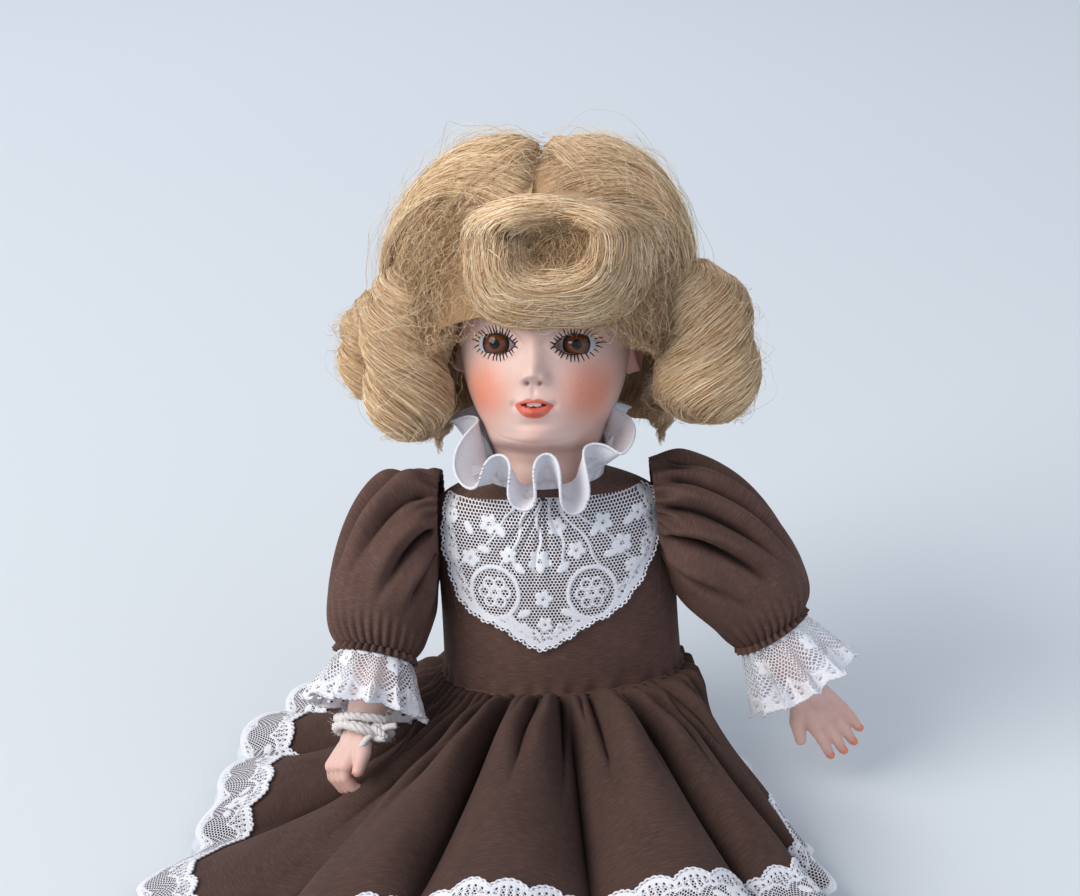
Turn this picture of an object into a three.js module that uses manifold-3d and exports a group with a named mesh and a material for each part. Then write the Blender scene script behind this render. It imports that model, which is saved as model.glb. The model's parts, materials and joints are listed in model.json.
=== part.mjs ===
// A seated porcelain doll about 40 cm tall when it stands: bisque head, composition body strung with
// elastic, mohair wig and a brown cotton dress with lace.
// Millimetres, +Z up, the face towards -Y, the origin on the floor below the hips.
// "Right" and "left" in names are the doll's own: its left is +X.
import * as THREE from "three";
import { mergeVertices } from "three/addons/utils/BufferGeometryUtils.js";
import Module from "manifold-3d";

const wasm = await Module();
wasm.setup();

// Driving dimensions
const HIP = new THREE.Vector3(5, -6, 19); // where the torso's own frame starts
const LEAN = 6; // degrees that the torso leans back
const ROLL = 3; // degrees that it leans to its right
const NECK_HEIGHT = 91; // from the torso's frame up to the centre of the neck's ball
const HEAD_PITCH = 10; // degrees that the head tips back from the torso
const HEAD_YAW = 6; // degrees that the face turns to its right
const NECK_BALL = 16;
const SHOULDER_HEIGHT = 77;
const SHOULDER_OUT = 48; // from the middle plane to the centre of the arm's ball
const ARMHOLE_OUT = 39; // from the middle plane to where the sleeve starts
const ARM_SWING = { left: 9, right: 31 }; // degrees forward of the torso's line
const ARM_SPREAD = { left: 29, right: 13 }; // degrees out from the torso's line
const HEM_OF_SLEEVE = 51; // along the arm from the ball's centre
const WRIST = 74;
const HIP_OUT = 17;
const HIP_JOINT = new THREE.Vector3(5, -12, 14);
const THIGH = 13.5;
const THIGH_ROOM = 50; // how far along the thigh the torso and drawers leave room for its swing
const HIP_TRAVEL = 90; // degrees of that swing
const SOLE = 150; // along the leg from the hip's centre to the sole
const WAIST_HEIGHT = 23.5;
const WAIST = { width: 38.2, front: 27.5, back: 25 };
const DRESS_WALL = 1.8;
const GAP = 0.35; // left between pieces that touch

const RIGHT = new THREE.Vector3(1, 0, 0);
const REAR = new THREE.Vector3(0, 1, 0);
const radians = THREE.MathUtils.degToRad;
const smooth = THREE.MathUtils.smoothstep;
const lerp = THREE.MathUtils.lerp;

const COLOURS = {
  bisque: [0xe8c3b8, 0.55, 0],
  composition: [0xd9b49a, 0.6, 0],
  glass: [0x4a2c1c, 0.08, 0],
  enamel: [0xf4f0ea, 0.25, 0],
  plaster: [0xe6e2d8, 0.9, 0],
  cork: [0xb08a5e, 0.9, 0],
  wood: [0x9c7448, 0.7, 0],
  wire: [0x8a8d90, 0.35, 1],
  elastic: [0xd9d4c8, 0.9, 0],
  mohair: [0xc8a56c, 0.65, 0],
  net: [0x8f7450, 0.95, 0],
  cotton: [0x4a342f, 0.9, 0],
  lace: [0xf2f2f4, 0.9, 0],
  batiste: [0xeef1f6, 0.95, 0],
  yarn: [0xf2f0ee, 1, 0],
  leather: [0x2b211d, 0.45, 0],
};

// ---- geometry helpers -------------------------------------------------------------------------

function signedVolume(geometry) {
  const flat = geometry.index ? geometry.toNonIndexed() : geometry;
  const position = flat.getAttribute("position");
  const corners = [new THREE.Vector3(), new THREE.Vector3(), new THREE.Vector3()];
  let six = 0;
  for (let i = 0; i < position.count; i += 3) {
    corners.forEach((corner, k) => corner.fromBufferAttribute(position, i + k));
    six += corners[0].dot(corners[1].cross(corners[2]));
  }
  return six / 6;
}

// The same geometry with only its positions left, its shared points merged and its faces outwards.
function clean(geometry) {
  const bare = new THREE.BufferGeometry();
  bare.setAttribute("position", geometry.getAttribute("position").clone());
  if (geometry.index) bare.setIndex(geometry.index.clone());
  const merged = mergeVertices(bare, 1e-4);
  if (signedVolume(merged) < 0) {
    const index = merged.index.array;
    for (let i = 0; i < index.length; i += 3) {
      [index[i + 1], index[i + 2]] = [index[i + 2], index[i + 1]];
    }
  }
  return merged;
}

function solidOf(geometry) {
  const merged = clean(geometry);
  return new wasm.Manifold(
    new wasm.Mesh({
      numProp: 3,
      vertProperties: new Float32Array(merged.attributes.position.array),
      triVerts: new Uint32Array(merged.index.array),
    }),
  );
}

function geometryOf(solid) {
  const mesh = solid.getMesh();
  return new THREE.BufferGeometry()
    .setAttribute("position", new THREE.BufferAttribute(new Float32Array(mesh.vertProperties), 3))
    .setIndex(new THREE.BufferAttribute(new Uint32Array(mesh.triVerts), 1));
}

function join(...geometries) {
  return geometryOf(geometries.map(solidOf).reduce((sum, next) => sum.add(next)));
}

function cut(geometry, ...tools) {
  return geometryOf(tools.map(solidOf).reduce((rest, tool) => rest.subtract(tool), solidOf(geometry)));
}

function common(geometry, tool) {
  return geometryOf(solidOf(geometry).intersect(solidOf(tool)));
}

// A lathe of [layer, t] points whose every point is moved to place(angle, t, layer).
// The angle is 0 at -Y and grows towards +X.
function skin(profile, sides, place) {
  const points = profile.map(([layer, t]) => new THREE.Vector2(layer, t));
  const geometry = new THREE.LatheGeometry(points, sides);
  const position = geometry.getAttribute("position");
  for (let i = 0; i < position.count; i++) {
    const layer = Math.hypot(position.getX(i), position.getZ(i));
    const turned = Math.atan2(position.getX(i), position.getZ(i));
    const angle = turned < -1e-6 ? turned + 2 * Math.PI : turned;
    const point = place(angle, position.getY(i), layer);
    position.setXYZ(i, point.x, point.y, point.z);
  }
  return clean(geometry);
}

// A shell with both ends open: place(angle, t, inset) gives its skins, t from 0 to 1.
function shell(place, rows, sides, wall) {
  const outer = Array.from({ length: rows + 1 }, (_, row) => [2, row / rows]);
  const inner = outer.map(([, t]) => [1, t]).reverse();
  return skin([...outer, ...inner, outer[0]], sides, (angle, t, layer) =>
    place(angle, t, layer > 1.5 ? 0 : wall),
  );
}

// A filled body with the same skin, closed at both ends round middle(t).
function filled(place, middle, rows, sides) {
  const rim = Array.from({ length: rows + 1 }, (_, row) => [2, row / rows]);
  return skin([[0, 0], ...rim, [0, 1]], sides, (angle, t, layer) =>
    layer < 1 ? middle(t) : place(angle, t, 0),
  );
}

// A ring lies in the plane of its right and rear vectors, round its centre.
function ringPoint(ring, angle, inset) {
  const ahead = Math.cos(angle);
  const depth = (ahead > 0 ? ring.front : ring.back) - inset;
  return ring.centre
    .clone()
    .addScaledVector(ring.right ?? RIGHT, Math.sin(angle) * (ring.width - inset))
    .addScaledVector(ring.rear ?? REAR, -ahead * depth);
}

// Rings from a table of [height, half width, front, back], one row for each line.
function levels(table) {
  return (t) => {
    const row = THREE.MathUtils.clamp(t * (table.length - 1), 0, table.length - 1);
    const low = Math.min(Math.floor(row), table.length - 2);
    const [z, width, front, back] = table[low].map((value, k) => lerp(value, table[low + 1][k], row - low));
    return { centre: new THREE.Vector3(0, 0, z), width, front, back };
  };
}

function ringShell(ringAt, rows, sides, wall) {
  return shell((angle, t, inset) => ringPoint(ringAt(t), angle, inset), rows, sides, wall);
}

function ringSolid(ringAt, rows, sides, grow = 0) {
  return filled(
    (angle, t) => ringPoint(ringAt(t), angle, -grow),
    (t) => ringAt(t).centre.clone(),
    rows,
    sides,
  );
}

function ellipsoid(centre, radii, sides = 16, rows = 10) {
  return new THREE.SphereGeometry(1, sides, rows).scale(...radii).translate(...centre);
}

function box(low, high) {
  const size = high.map((value, k) => value - low[k]);
  return new THREE.BoxGeometry(...size).translate(...low.map((value, k) => value + size[k] / 2));
}

// A round bar between two points.
function rod(start, end, radius, sides = 12, endRadius = radius) {
  const from = new THREE.Vector3(...start);
  const along = new THREE.Vector3(...end).sub(from);
  const turn = new THREE.Quaternion().setFromUnitVectors(REAR, along.clone().normalize());
  return new THREE.CylinderGeometry(endRadius, radius, along.length(), sides)
    .applyQuaternion(turn)
    .translate(...from.addScaledVector(along, 0.5).toArray());
}

// Wire bent through the points.
function wire(points, radius, steps, sides = 6) {
  const section = new THREE.Shape();
  for (let k = 0; k < sides; k++) {
    const angle = (2 * Math.PI * k) / sides;
    const x = radius * Math.cos(angle);
    const y = radius * Math.sin(angle);
    if (k === 0) section.moveTo(x, y);
    else section.lineTo(x, y);
  }
  const path = new THREE.CatmullRomCurve3(points.map((point) => new THREE.Vector3(...point)));
  return new THREE.ExtrudeGeometry(section, { steps, extrudePath: path });
}

// A closed loop of cord: an ellipse of half lengths across and up in the XZ plane.
function cordLoop(across, up, radius, steps = 20, sides = 6) {
  const geometry = new THREE.TorusGeometry(2, 1, sides, steps);
  const position = geometry.getAttribute("position");
  for (let i = 0; i < position.count; i++) {
    const round = Math.atan2(position.getY(i), position.getX(i));
    const out = Math.hypot(position.getX(i), position.getY(i)) - 2;
    const normal = new THREE.Vector2(Math.cos(round) / across, Math.sin(round) / up).normalize();
    position.setXYZ(
      i,
      across * Math.cos(round) + radius * out * normal.x,
      radius * position.getZ(i),
      up * Math.sin(round) + radius * out * normal.y,
    );
  }
  return geometry;
}

// ---- groups, which hold the pose ----------------------------------------------------------------

const doll = new THREE.Group();
const torsoFrame = new THREE.Group();
torsoFrame.position.copy(HIP);
torsoFrame.rotation.set(radians(-LEAN), radians(-ROLL), 0);
doll.add(torsoFrame);

const neckFrame = new THREE.Group();
neckFrame.position.set(0, 0, NECK_HEIGHT);
neckFrame.rotation.set(radians(-HEAD_PITCH), radians(ROLL), 0);
torsoFrame.add(neckFrame);

const headFrame = new THREE.Group();
headFrame.rotation.set(0, 0, radians(-HEAD_YAW));
neckFrame.add(headFrame);
doll.updateMatrixWorld(true);

function add(group, name, geometry, colour) {
  const [color, roughness, metalness] = COLOURS[colour];
  const material = new THREE.MeshStandardMaterial({ color, roughness, metalness });
  const mesh = new THREE.Mesh(clean(geometry), material);
  mesh.name = name;
  group.add(mesh);
}

// Moves a geometry given in the floor's frame into the torso's frame.
function intoTorso(geometry) {
  return geometry.applyMatrix4(torsoFrame.matrixWorld.clone().invert());
}

// ---- head ---------------------------------------------------------------------------------------

// [height, half width, front, back] from the neck's ball to the open crown
const HEAD_LEVELS = [
  [-9, 13.2, 13.2, 13.2],
  [-5, 15.2, 15.2, 15.2],
  [0, 16, 16, 16],
  [5, 17, 17, 17],
  [8.5, 17.8, 20, 18.2],
  [11, 18.8, 27, 20.5],
  [16, 20.6, 31.4, 24.8],
  [22, 23.6, 33, 29],
  [31, 26.8, 33.6, 33],
  [40, 28.4, 33, 35.5],
  [48, 29, 33, 36.5],
  [56, 29.2, 34.2, 37],
  [64, 28.4, 33.6, 36],
  [71, 26.4, 31.4, 33.6],
];
const HEAD_WALL = 2.4;
const EYE = { out: 12.3, y: -21, z: 44, radius: 7.8 };
const MOUTH_HEIGHT = 24;
const NOSE = { height: 34, length: 5.5, reach: 5, width: 4.6 };

function withNose(geometry) {
  const position = geometry.getAttribute("position");
  for (let i = 0; i < position.count; i++) {
    const x = position.getX(i) / NOSE.width;
    const z = (position.getZ(i) - NOSE.height) / NOSE.length;
    if (position.getY(i) > -29) continue;
    position.setY(i, position.getY(i) - NOSE.reach * Math.exp(-x * x - z * z));
  }
  return geometry;
}

function head() {
  const ringAt = levels(HEAD_LEVELS);
  const rows = HEAD_LEVELS.length - 1;
  let skull = withNose(ringShell(ringAt, rows, 26, HEAD_WALL));
  const tools = [rod([0, -40, 0], [0, -26, 0], 1, 12).scale(4, 1, 1.2).translate(0, 0, MOUTH_HEIGHT)];
  for (const side of [-1, 1]) {
    const x = side * EYE.out;
    skull = join(skull, ellipsoid([side * 29.6, 3, 42], [3, 5.5, 9.5], 8, 6));
    tools.push(ellipsoid([x, EYE.y, EYE.z], Array(3).fill(EYE.radius + 0.4), 14, 10));
    const opening = new THREE.CylinderGeometry(1, 1, 14, 14).scale(6, 1, 3.4);
    tools.push(opening.translate(x, EYE.y - 8, EYE.z));
  }
  return cut(skull, ...tools);
}

function buildHead() {
  add(headFrame, "head", head(), "bisque");
  for (const [name, side] of [["right", -1], ["left", 1]]) {
    const eyeball = ellipsoid([side * EYE.out, EYE.y, EYE.z], Array(3).fill(EYE.radius), 14, 10);
    add(headFrame, `eye_${name}`, eyeball, "glass");
  }
  add(headFrame, "eye_plaster", box([-18, -12.8, 39], [18, -7, 49]), "plaster");
  add(headFrame, "teeth", box([-3.5, -30, MOUTH_HEIGHT - 0.6], [3.5, -28.8, MOUTH_HEIGHT + 2.4]), "enamel");
  add(headFrame, "pate", pate(), "cork");
  add(headFrame, "wig_cap", wigCap(), "net");
}

const PATE_LEVELS = [
  [71.4, 26.2, 31.2, 33.4],
  [76, 23, 27.6, 29.6],
  [80, 17.7, 21.5, 23],
  [83, 10.8, 13, 14],
  [84.4, 3.8, 4.3, 4.6],
];

// The crown's cover: a dome with a small hole left at its top.
function pate() {
  return ringShell(levels(PATE_LEVELS), PATE_LEVELS.length - 1, 16, 1.6);
}

// The netting that the hair is sewn to follows the head and the pate, a little outside them.
const CAP_LEVELS = [
  [57.5, 29.2, 34.1, 36.9],
  [64, 28.4, 33.6, 36],
  [71, 26.4, 31.4, 33.6],
  [76, 23.2, 27.8, 29.8],
  [80, 18, 21.9, 23.4],
  [83.4, 11.2, 13.4, 14.4],
  [84.9, 3.8, 4.3, 4.6],
];

function capRing(grow) {
  return (t) => {
    const ring = levels(CAP_LEVELS)(t);
    ring.centre.z += grow * smooth(t, 0.3, 0.8);
    return { ...ring, width: ring.width + grow, front: ring.front + grow, back: ring.back + grow };
  };
}

function wigCap() {
  return ringShell(capRing(1.6), CAP_LEVELS.length - 1, 16, 0.8);
}

// ---- wig ----------------------------------------------------------------------------------------

const CROWN = { width: 50, front: 36, back: 47, top: 113, base: 60 };

// The outer dome of combed hair: nearly upright at its rim, round over the top.
function crownPoint(angle, t) {
  const fromBack = Math.abs(Math.PI - angle);
  const rim = 58 + 13 * Math.exp(-(((fromBack - 1.5) / 0.5) ** 2));
  const low = lerp(14, rim, smooth(fromBack, 0.5, 0.95));
  const rise = t * radians(86);
  const upright = Math.cos(rise) ** 0.75;
  const z = lerp(low, CROWN.top, Math.sin(rise));
  const depth = Math.cos(angle) > 0 ? CROWN.front : CROWN.back;
  return new THREE.Vector3(CROWN.width * upright * Math.sin(angle), -depth * upright * Math.cos(angle), z);
}

function crown() {
  const outer = filled(crownPoint, (t) => new THREE.Vector3(0, 0, t < 0.5 ? 50 : CROWN.top), 7, 20);
  const cap = ringSolid(capRing(2), CAP_LEVELS.length - 1, 16);
  const below = ringSolid(levels([[-20, 30.5, 35, 38], [58.2, 31.4, 40, 39]]), 1, 24);
  const ears = box([-33.4, -40, -20], [33.4, 14, 54]);
  return cut(outer, cap, below, ears);
}

// A fat ringlet hanging from the crown: a stack of turns round a tilted axis.
function ringlet(top, bottom, radius, turns) {
  const start = new THREE.Vector3(...top);
  const end = new THREE.Vector3(...bottom);
  const place = (angle, t) => {
    const turn = Math.abs(Math.sin(Math.PI * turns * t));
    const round = Math.min(1, Math.sqrt(Math.max(0, 1 - (2 * t - 1) ** 6)) + 0.25);
    const r = radius * (0.86 + 0.14 * turn) * round;
    return start.clone().lerp(end, t).add(new THREE.Vector3(r * Math.sin(angle), -r * Math.cos(angle), 0));
  };
  return filled(place, (t) => start.clone().lerp(end, t), turns * 4, 12);
}

function buildWig() {
  const hair = crown();
  const far = 90;
  const part = 0.2;
  add(headFrame, "hair_left", common(hair, box([part, -far, -far], [far, far, 2 * far])), "mohair");
  add(headFrame, "hair_right", common(hair, box([-far, -far, -far], [-part, far, 2 * far])), "mohair");
  const roll = ellipsoid([0, -38, 67], [31, 12, 18], 16, 12);
  add(headFrame, "bangs", common(roll, box([-far, -far, 0], [far, -37.2, far])), "mohair");
  add(headFrame, "ringlet_right", ringlet([-47.4, -6, 60], [-46.4, -8, 13], 13.2, 3), "mohair");
  add(headFrame, "ringlet_right_outer", ringlet([-64.6, 11, 54], [-64, 10, 24], 8.2, 2), "mohair");
  add(headFrame, "ringlet_left", ringlet([53, -2, 68.4], [53.4, -4, 19], 15, 2), "mohair");
  add(headFrame, "tail_curl_right", ellipsoid([-40, 24, 22], [6.5, 6, 11], 10, 8), "mohair");
  add(headFrame, "tail_curl_left", ellipsoid([38, 24, 25], [5.5, 5.5, 12], 10, 8), "mohair");
}

// ---- neck hardware --------------------------------------------------------------------------------

// A wooden half ball seats in the bottom of the neck, and a hook through it pulls the head down.
function buildNeck() {
  const ball = 12.8;
  const plug = common(
    ellipsoid([0, 0, 0], [ball, ball, ball], 14, 10),
    box([-20, -20, -20], [20, 20, -4]),
  );
  add(neckFrame, "neck_plug", cut(plug, rod([0, 0, -16], [0, 0, 0], 1.6, 10)), "wood");
  const hook = [
    [0, 0, -1.6],
    [0, 0, -12],
    [0, 1, -22],
    [0, 3, -28],
    [2.4, 3.6, -31],
    [0, 4, -33.4],
    [-2.4, 4, -31.4],
  ];
  const stem = wire(hook, 0.8, 14, 5);
  add(neckFrame, "neck_hook", join(stem, rod([0, 0, -3.4], [0, 0, -2.2], 4, 12)), "wire");
}

// ---- torso ----------------------------------------------------------------------------------------

// [height, half width, front, back] in the torso's frame
const TORSO_LEVELS = [
  [-24, 33, 24, 24],
  [-8, 34.5, 24, 24],
  [5, 33.4, 22.5, 21.5],
  [20, 33, 22.3, 20],
  [35, 33.4, 23, 21],
  [50, 34, 24, 22],
  [65, 34.3, 23, 22],
  [74, 34.5, 22, 21],
  [80, 33.6, 20.5, 20],
  [84, 26, 19.2, 19.2],
  [86.5, 18.5, 18.5, 18.5],
];
const TORSO_HOLLOW = [
  [-4, 29, 8, 19],
  [20, 29, 19, 16.5],
  [50, 30.5, 20, 18],
  [76, 30, 18, 17],
  [80, 27, 15.5, 15.5],
  [82, 13, 13, 13],
];
const SEAT = 2.2; // height of the torso's flat seat over the floor, the drawers' cloth below it

// The space that the thighs sweep between sitting and standing, and the balls' cups.
function hipRoom(clearance) {
  const rooms = [];
  for (const side of [-1, 1]) {
    const hip = HIP_JOINT.clone().add(new THREE.Vector3(side * HIP_OUT, 0, 0));
    const reach = THIGH + clearance;
    rooms.push(ellipsoid(hip.toArray(), [reach, reach, reach], 12, 8));
    for (let angle = 0; angle <= HIP_TRAVEL; angle += 15) {
      const ahead = THIGH_ROOM * Math.cos(radians(angle));
      const below = THIGH_ROOM * Math.sin(radians(angle));
      rooms.push(rod(hip.toArray(), [hip.x, hip.y - ahead, hip.z - below], reach, 12));
    }
  }
  return join(...rooms);
}

function torso() {
  const ringAt = levels(TORSO_LEVELS);
  const rows = TORSO_LEVELS.length - 1;
  const outside = ringSolid(ringAt, rows, 24);
  const hollow = ringSolid(levels(TORSO_HOLLOW), TORSO_HOLLOW.length - 1, 16);
  const cup = ellipsoid([0, 0, NECK_HEIGHT], Array(3).fill(NECK_BALL + GAP + 0.3), 18, 12);
  const floorCut = intoTorso(box([-90, -90, -40], [90, 90, SEAT]));
  const armWay = rod([-60, 0, SHOULDER_HEIGHT], [60, 0, SHOULDER_HEIGHT], 4.3, 10);
  const legWay = intoTorso(
    rod([HIP_JOINT.x - 24, HIP_JOINT.y, HIP_JOINT.z], [HIP_JOINT.x + 24, HIP_JOINT.y, HIP_JOINT.z], 5.6, 12),
  );
  return cut(outside, hollow, cup, floorCut, intoTorso(hipRoom(1.1)), armWay, legWay);
}

// The rubber loops that string the limbs, and the spring that holds the neck's hook down.
function buildStringing() {
  const armLoop = cordLoop(27, 8, 1.1).rotateX(Math.PI / 2);
  add(torsoFrame, "arm_elastic", armLoop.translate(0, 0, SHOULDER_HEIGHT), "elastic");
  const legLoop = cordLoop(HIP_OUT - 6, 3.4, 1.1).rotateX(Math.PI / 2);
  add(doll, "leg_elastic", legLoop.translate(...HIP_JOINT.toArray()), "elastic");
  const turns = 5;
  const coil = Array.from({ length: turns * 6 + 1 }, (_, k) => {
    const angle = (k * Math.PI) / 3;
    return [3 * Math.cos(angle), 3 * Math.sin(angle), 30 + (24 * k) / (turns * 6)];
  });
  add(torsoFrame, "neck_spring", wire(coil, 0.6, turns * 8, 5), "wire");
  add(torsoFrame, "spring_pin", rod([-26, 0, 26], [26, 0, 26], 1.2, 10), "wire");
}

function buildTorso() {
  add(torsoFrame, "torso", torso(), "composition");
  buildStringing();
  add(torsoFrame, "drawers", drawers(), "batiste");
}

const DRAWERS_TOP = 6;

// Short drawers: cloth round the hips, flat where the doll sits, cut away for the thighs.
function drawers() {
  const grown = (grow) => {
    const table = [
      [-26, 34, 25, 25.5],
      [-8, 35, 25.5, 26],
      [DRAWERS_TOP, 34.2, 24.8, 25],
    ];
    return ringSolid(levels(table), 2, 20, grow);
  };
  const outside = cut(grown(2.2), intoTorso(box([-90, -90, -40], [90, 90, 0])));
  const inside = cut(grown(0.8), intoTorso(box([-90, -90, -40], [90, 90, SEAT - GAP])));
  return cut(outside, inside, box([-60, -60, DRAWERS_TOP - 0.5], [60, 60, 30]), intoTorso(hipRoom(1.3)));
}

// ---- arms ------------------------------------------------------------------------------------------

// [distance down the arm, half width, front, back]
const ARM_LEVELS = [
  [-9, 5, 5, 5],
  [-7, 8, 8, 8],
  [0, 9.6, 10, 10],
  [14, 8.4, 9, 9],
  [40, 7.8, 8.2, 8.2],
  [58, 7.4, 7.6, 7.6],
  [WRIST - 4, 6, 5.4, 5.4],
  [WRIST + 2, 6.2, 4.6, 4.6],
  [WRIST + 8, 8, 4.4, 4.4],
  [WRIST + 15, 7.8, 3.8, 3.8],
  [WRIST + 17.5, 6, 2.6, 2.6],
];

const FINGER_LENGTHS = [9, 12, 12.5, 11];
const PALM_TURN = { left: 25, right: 60 }; // degrees that the thumb's side turns ahead

// One arm along -Z from the centre of its ball, with the thumb on the body's side.
function arm(side, turn) {
  const limb = ringSolid(levels(ARM_LEVELS.map(([s, ...rest]) => [-s, ...rest])), ARM_LEVELS.length - 1, 12);
  const curl = side < 0 ? 5.5 : 2; // the right hand's fingers bend more
  const palm = WRIST + 14;
  const fingers = FINGER_LENGTHS.map((length, finger) => {
    const across = -5.6 + 3.7 * finger;
    return rod([-side * across, 0, -palm], [-side * across * 1.25, curl, -(palm + length)], 2.1, 6, 1.6);
  });
  const thumb = rod([-side * 6, 0, -(WRIST + 5)], [-side * 9.5, 4, -(WRIST + 15)], 2.3, 6, 1.8);
  return join(limb, ...fingers, thumb).rotateZ(radians(side * turn));
}

// Two rails bound the sleeve in the arm's plane: the inner runs down beside the bodice, the outer arches
// over the shoulder's cap. Each ring spans them; between them the sleeve is a little deeper than wide.
function sleeveRing(side, spread) {
  const point = (out, up) => new THREE.Vector3(side * out, 0, up);
  const start = ARMHOLE_OUT + 0.4 - SHOULDER_OUT;
  const lean = radians(spread);
  const hem = point(HEM_OF_SLEEVE * Math.sin(lean) + 1, -HEM_OF_SLEEVE * Math.cos(lean));
  const half = point(12.4 * Math.cos(lean), 12.4 * Math.sin(lean));
  const inEnd = hem.clone().sub(half);
  const outEnd = hem.clone().add(half);
  const inner = new THREE.CubicBezierCurve3(
    point(start, -15.5), point(start + 0.6, -26), inEnd.clone().add(point(-9, 9)), inEnd,
  );
  const outer = new THREE.CubicBezierCurve3(
    point(start, 18), point(14, 22), outEnd.clone().add(point(12, 13)), outEnd,
  );
  return (t) => {
    const near = inner.getPoint(t);
    const far = outer.getPoint(t);
    const width = near.distanceTo(far) / 2;
    const depth = lerp(17, 12.4, t) + 5.5 * Math.sin(Math.PI * t) ** 0.8;
    const right = far.clone().sub(near).normalize();
    return { centre: near.clone().lerp(far, 0.5), width, front: depth, back: depth, right };
  };
}

// From the ball inwards and back round the elastic: [out, up]
const ARM_HOOK = [
  [-4, 0],
  [-14, 0],
  [-17.4, 0.6],
  [-19, 2.3],
  [-21, 2.9],
  [-23.2, 2.3],
  [-24.2, 0.4],
];

function buildArm(name, side) {
  const swing = new THREE.Group();
  swing.position.set(side * SHOULDER_OUT, 0, SHOULDER_HEIGHT);
  swing.rotation.x = radians(-ARM_SWING[name]);
  torsoFrame.add(swing);
  const spread = new THREE.Group();
  spread.rotation.y = radians(-side * ARM_SPREAD[name]);
  swing.add(spread);
  doll.updateMatrixWorld(true);

  const hub = rod([side * -12.4, 0, 0], [0, 0, 0], 8.5, 16);
  const limb = arm(side, PALM_TURN[name]).rotateY(radians(-side * ARM_SPREAD[name]));
  const bore = rod([side * -30, 0, 0], [side * -3, 0, 0], 1.5, 10);
  add(swing, `arm_${name}`, cut(join(limb, hub), bore), "bisque");
  add(swing, `sleeve_${name}`, ringShell(sleeveRing(side, ARM_SPREAD[name]), 7, 14, 1.4), "cotton");
  add(swing, `arm_hook_${name}`, wire(ARM_HOOK.map(([x, z]) => [side * x, 0, z]), 0.75, 10, 5), "wire");
  add(spread, `sleeve_elastic_${name}`, sleeveElastic(side), "elastic");
  add(spread, `cuff_${name}`, cuff(side), "lace");
  if (side < 0) add(spread, "wrist_yarn", wristYarn(), "yarn");
}

function sleeveElastic(side) {
  return new THREE.TorusGeometry(9.6, 0.6, 5, 18).translate(side, 0, -(HEM_OF_SLEEVE - 1.5));
}

// The lace frill under the sleeve's hem flares over the wrist.
function cuff(side) {
  const ringAt = levels([
    [-(HEM_OF_SLEEVE + 3.4), 11.4, 12, 12],
    [-(HEM_OF_SLEEVE + 8), 14.5, 15, 15],
    [-(HEM_OF_SLEEVE + 16), 16.5, 17.5, 17.5],
    [-(HEM_OF_SLEEVE + 24), 18, 19.5, 19.5],
  ]);
  return ringShell(ringAt, 3, 18, 1).translate(side, 0, 0);
}

function wristYarn() {
  return new THREE.TorusGeometry(8.8, 2.1, 6, 18).translate(0, 0, -(WRIST + 1));
}

// ---- legs ------------------------------------------------------------------------------------------

const LEG_LEVELS = [
  [-THIGH + 0.5, 3.4, 3.4, 3.4],
  [-10, 9, 9, 9],
  [0, THIGH, THIGH, THIGH],
  [16, 13.2, 13.2, 13.2],
  [42, 12, 12, 12],
  [68, 10, 10.4, 9.8],
  [94, 10, 9.4, 10.6],
  [118, 7.6, 7.4, 8],
  [134, 6.6, 6.8, 7],
];
const FOOT = { length: 20, back: 8.5, width: 8, height: 8 };

function foot(grow) {
  const long = (FOOT.length + FOOT.back) / 2 + grow;
  const middle = -(FOOT.length - FOOT.back) / 2;
  const radii = [FOOT.width + grow, long, FOOT.height + grow - 1];
  return ellipsoid([0, middle, -(SOLE - FOOT.height)], radii, 12, 8);
}

const LEG_HOOK = [
  [1.4, 0],
  [-1.6, 0.4],
  [-3.4, 2.2],
  [-5.4, 2.9],
  [-7.6, 2.6],
  [-8.8, 0.6],
];

function buildLeg(name, side) {
  const leg = new THREE.Group();
  leg.position.copy(HIP_JOINT).add(new THREE.Vector3(side * HIP_OUT, 0, 0));
  leg.rotation.x = radians(-90);
  doll.add(leg);
  const shank = ringSolid(levels(LEG_LEVELS.map(([s, ...rest]) => [-s, ...rest])), LEG_LEVELS.length - 1, 12);
  const ankle = rod([0, 0, -130], [0, 0, -(SOLE - FOOT.height)], 6.3, 14);
  const bore = rod([side * -30, 0, 0], [side * 2.4, 0, 0], 5, 12);
  add(leg, `leg_${name}`, cut(join(shank, ankle, foot(0)), bore), "bisque");
  add(leg, `leg_hook_${name}`, wire(LEG_HOOK.map(([x, z]) => [side * x, -z, 0]), 0.6, 10, 5), "wire");
  const stockingRings = levels([
    [-96, 11, 10.4, 11.6],
    [-118, 8.9, 8.8, 9.4],
    [-131.4, 8.1, 8.3, 8.5],
  ]);
  add(leg, `stocking_${name}`, ringShell(stockingRings, 2, 12, 0.7), "batiste");
  const soleCut = box([-30, -60, -200], [30, 30, -SOLE - 1.2]);
  const opening = box([-30, -11, -SOLE + FOOT.height + 0.5], [30, 30, -100]);
  const instep = rod([0, 0, -140], [0, 0, -100], 8.2, 16);
  const shoe = cut(foot(2.2), foot(0.4), opening, instep, soleCut);
  add(leg, `shoe_${name}`, shoe, "leather");
  const strap = new THREE.TorusGeometry(8.4, 0.7, 5, 14).translate(0, 0, -133.2);
  add(leg, `shoe_strap_${name}`, strap, "leather");
}

// ---- dress -----------------------------------------------------------------------------------------

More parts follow.
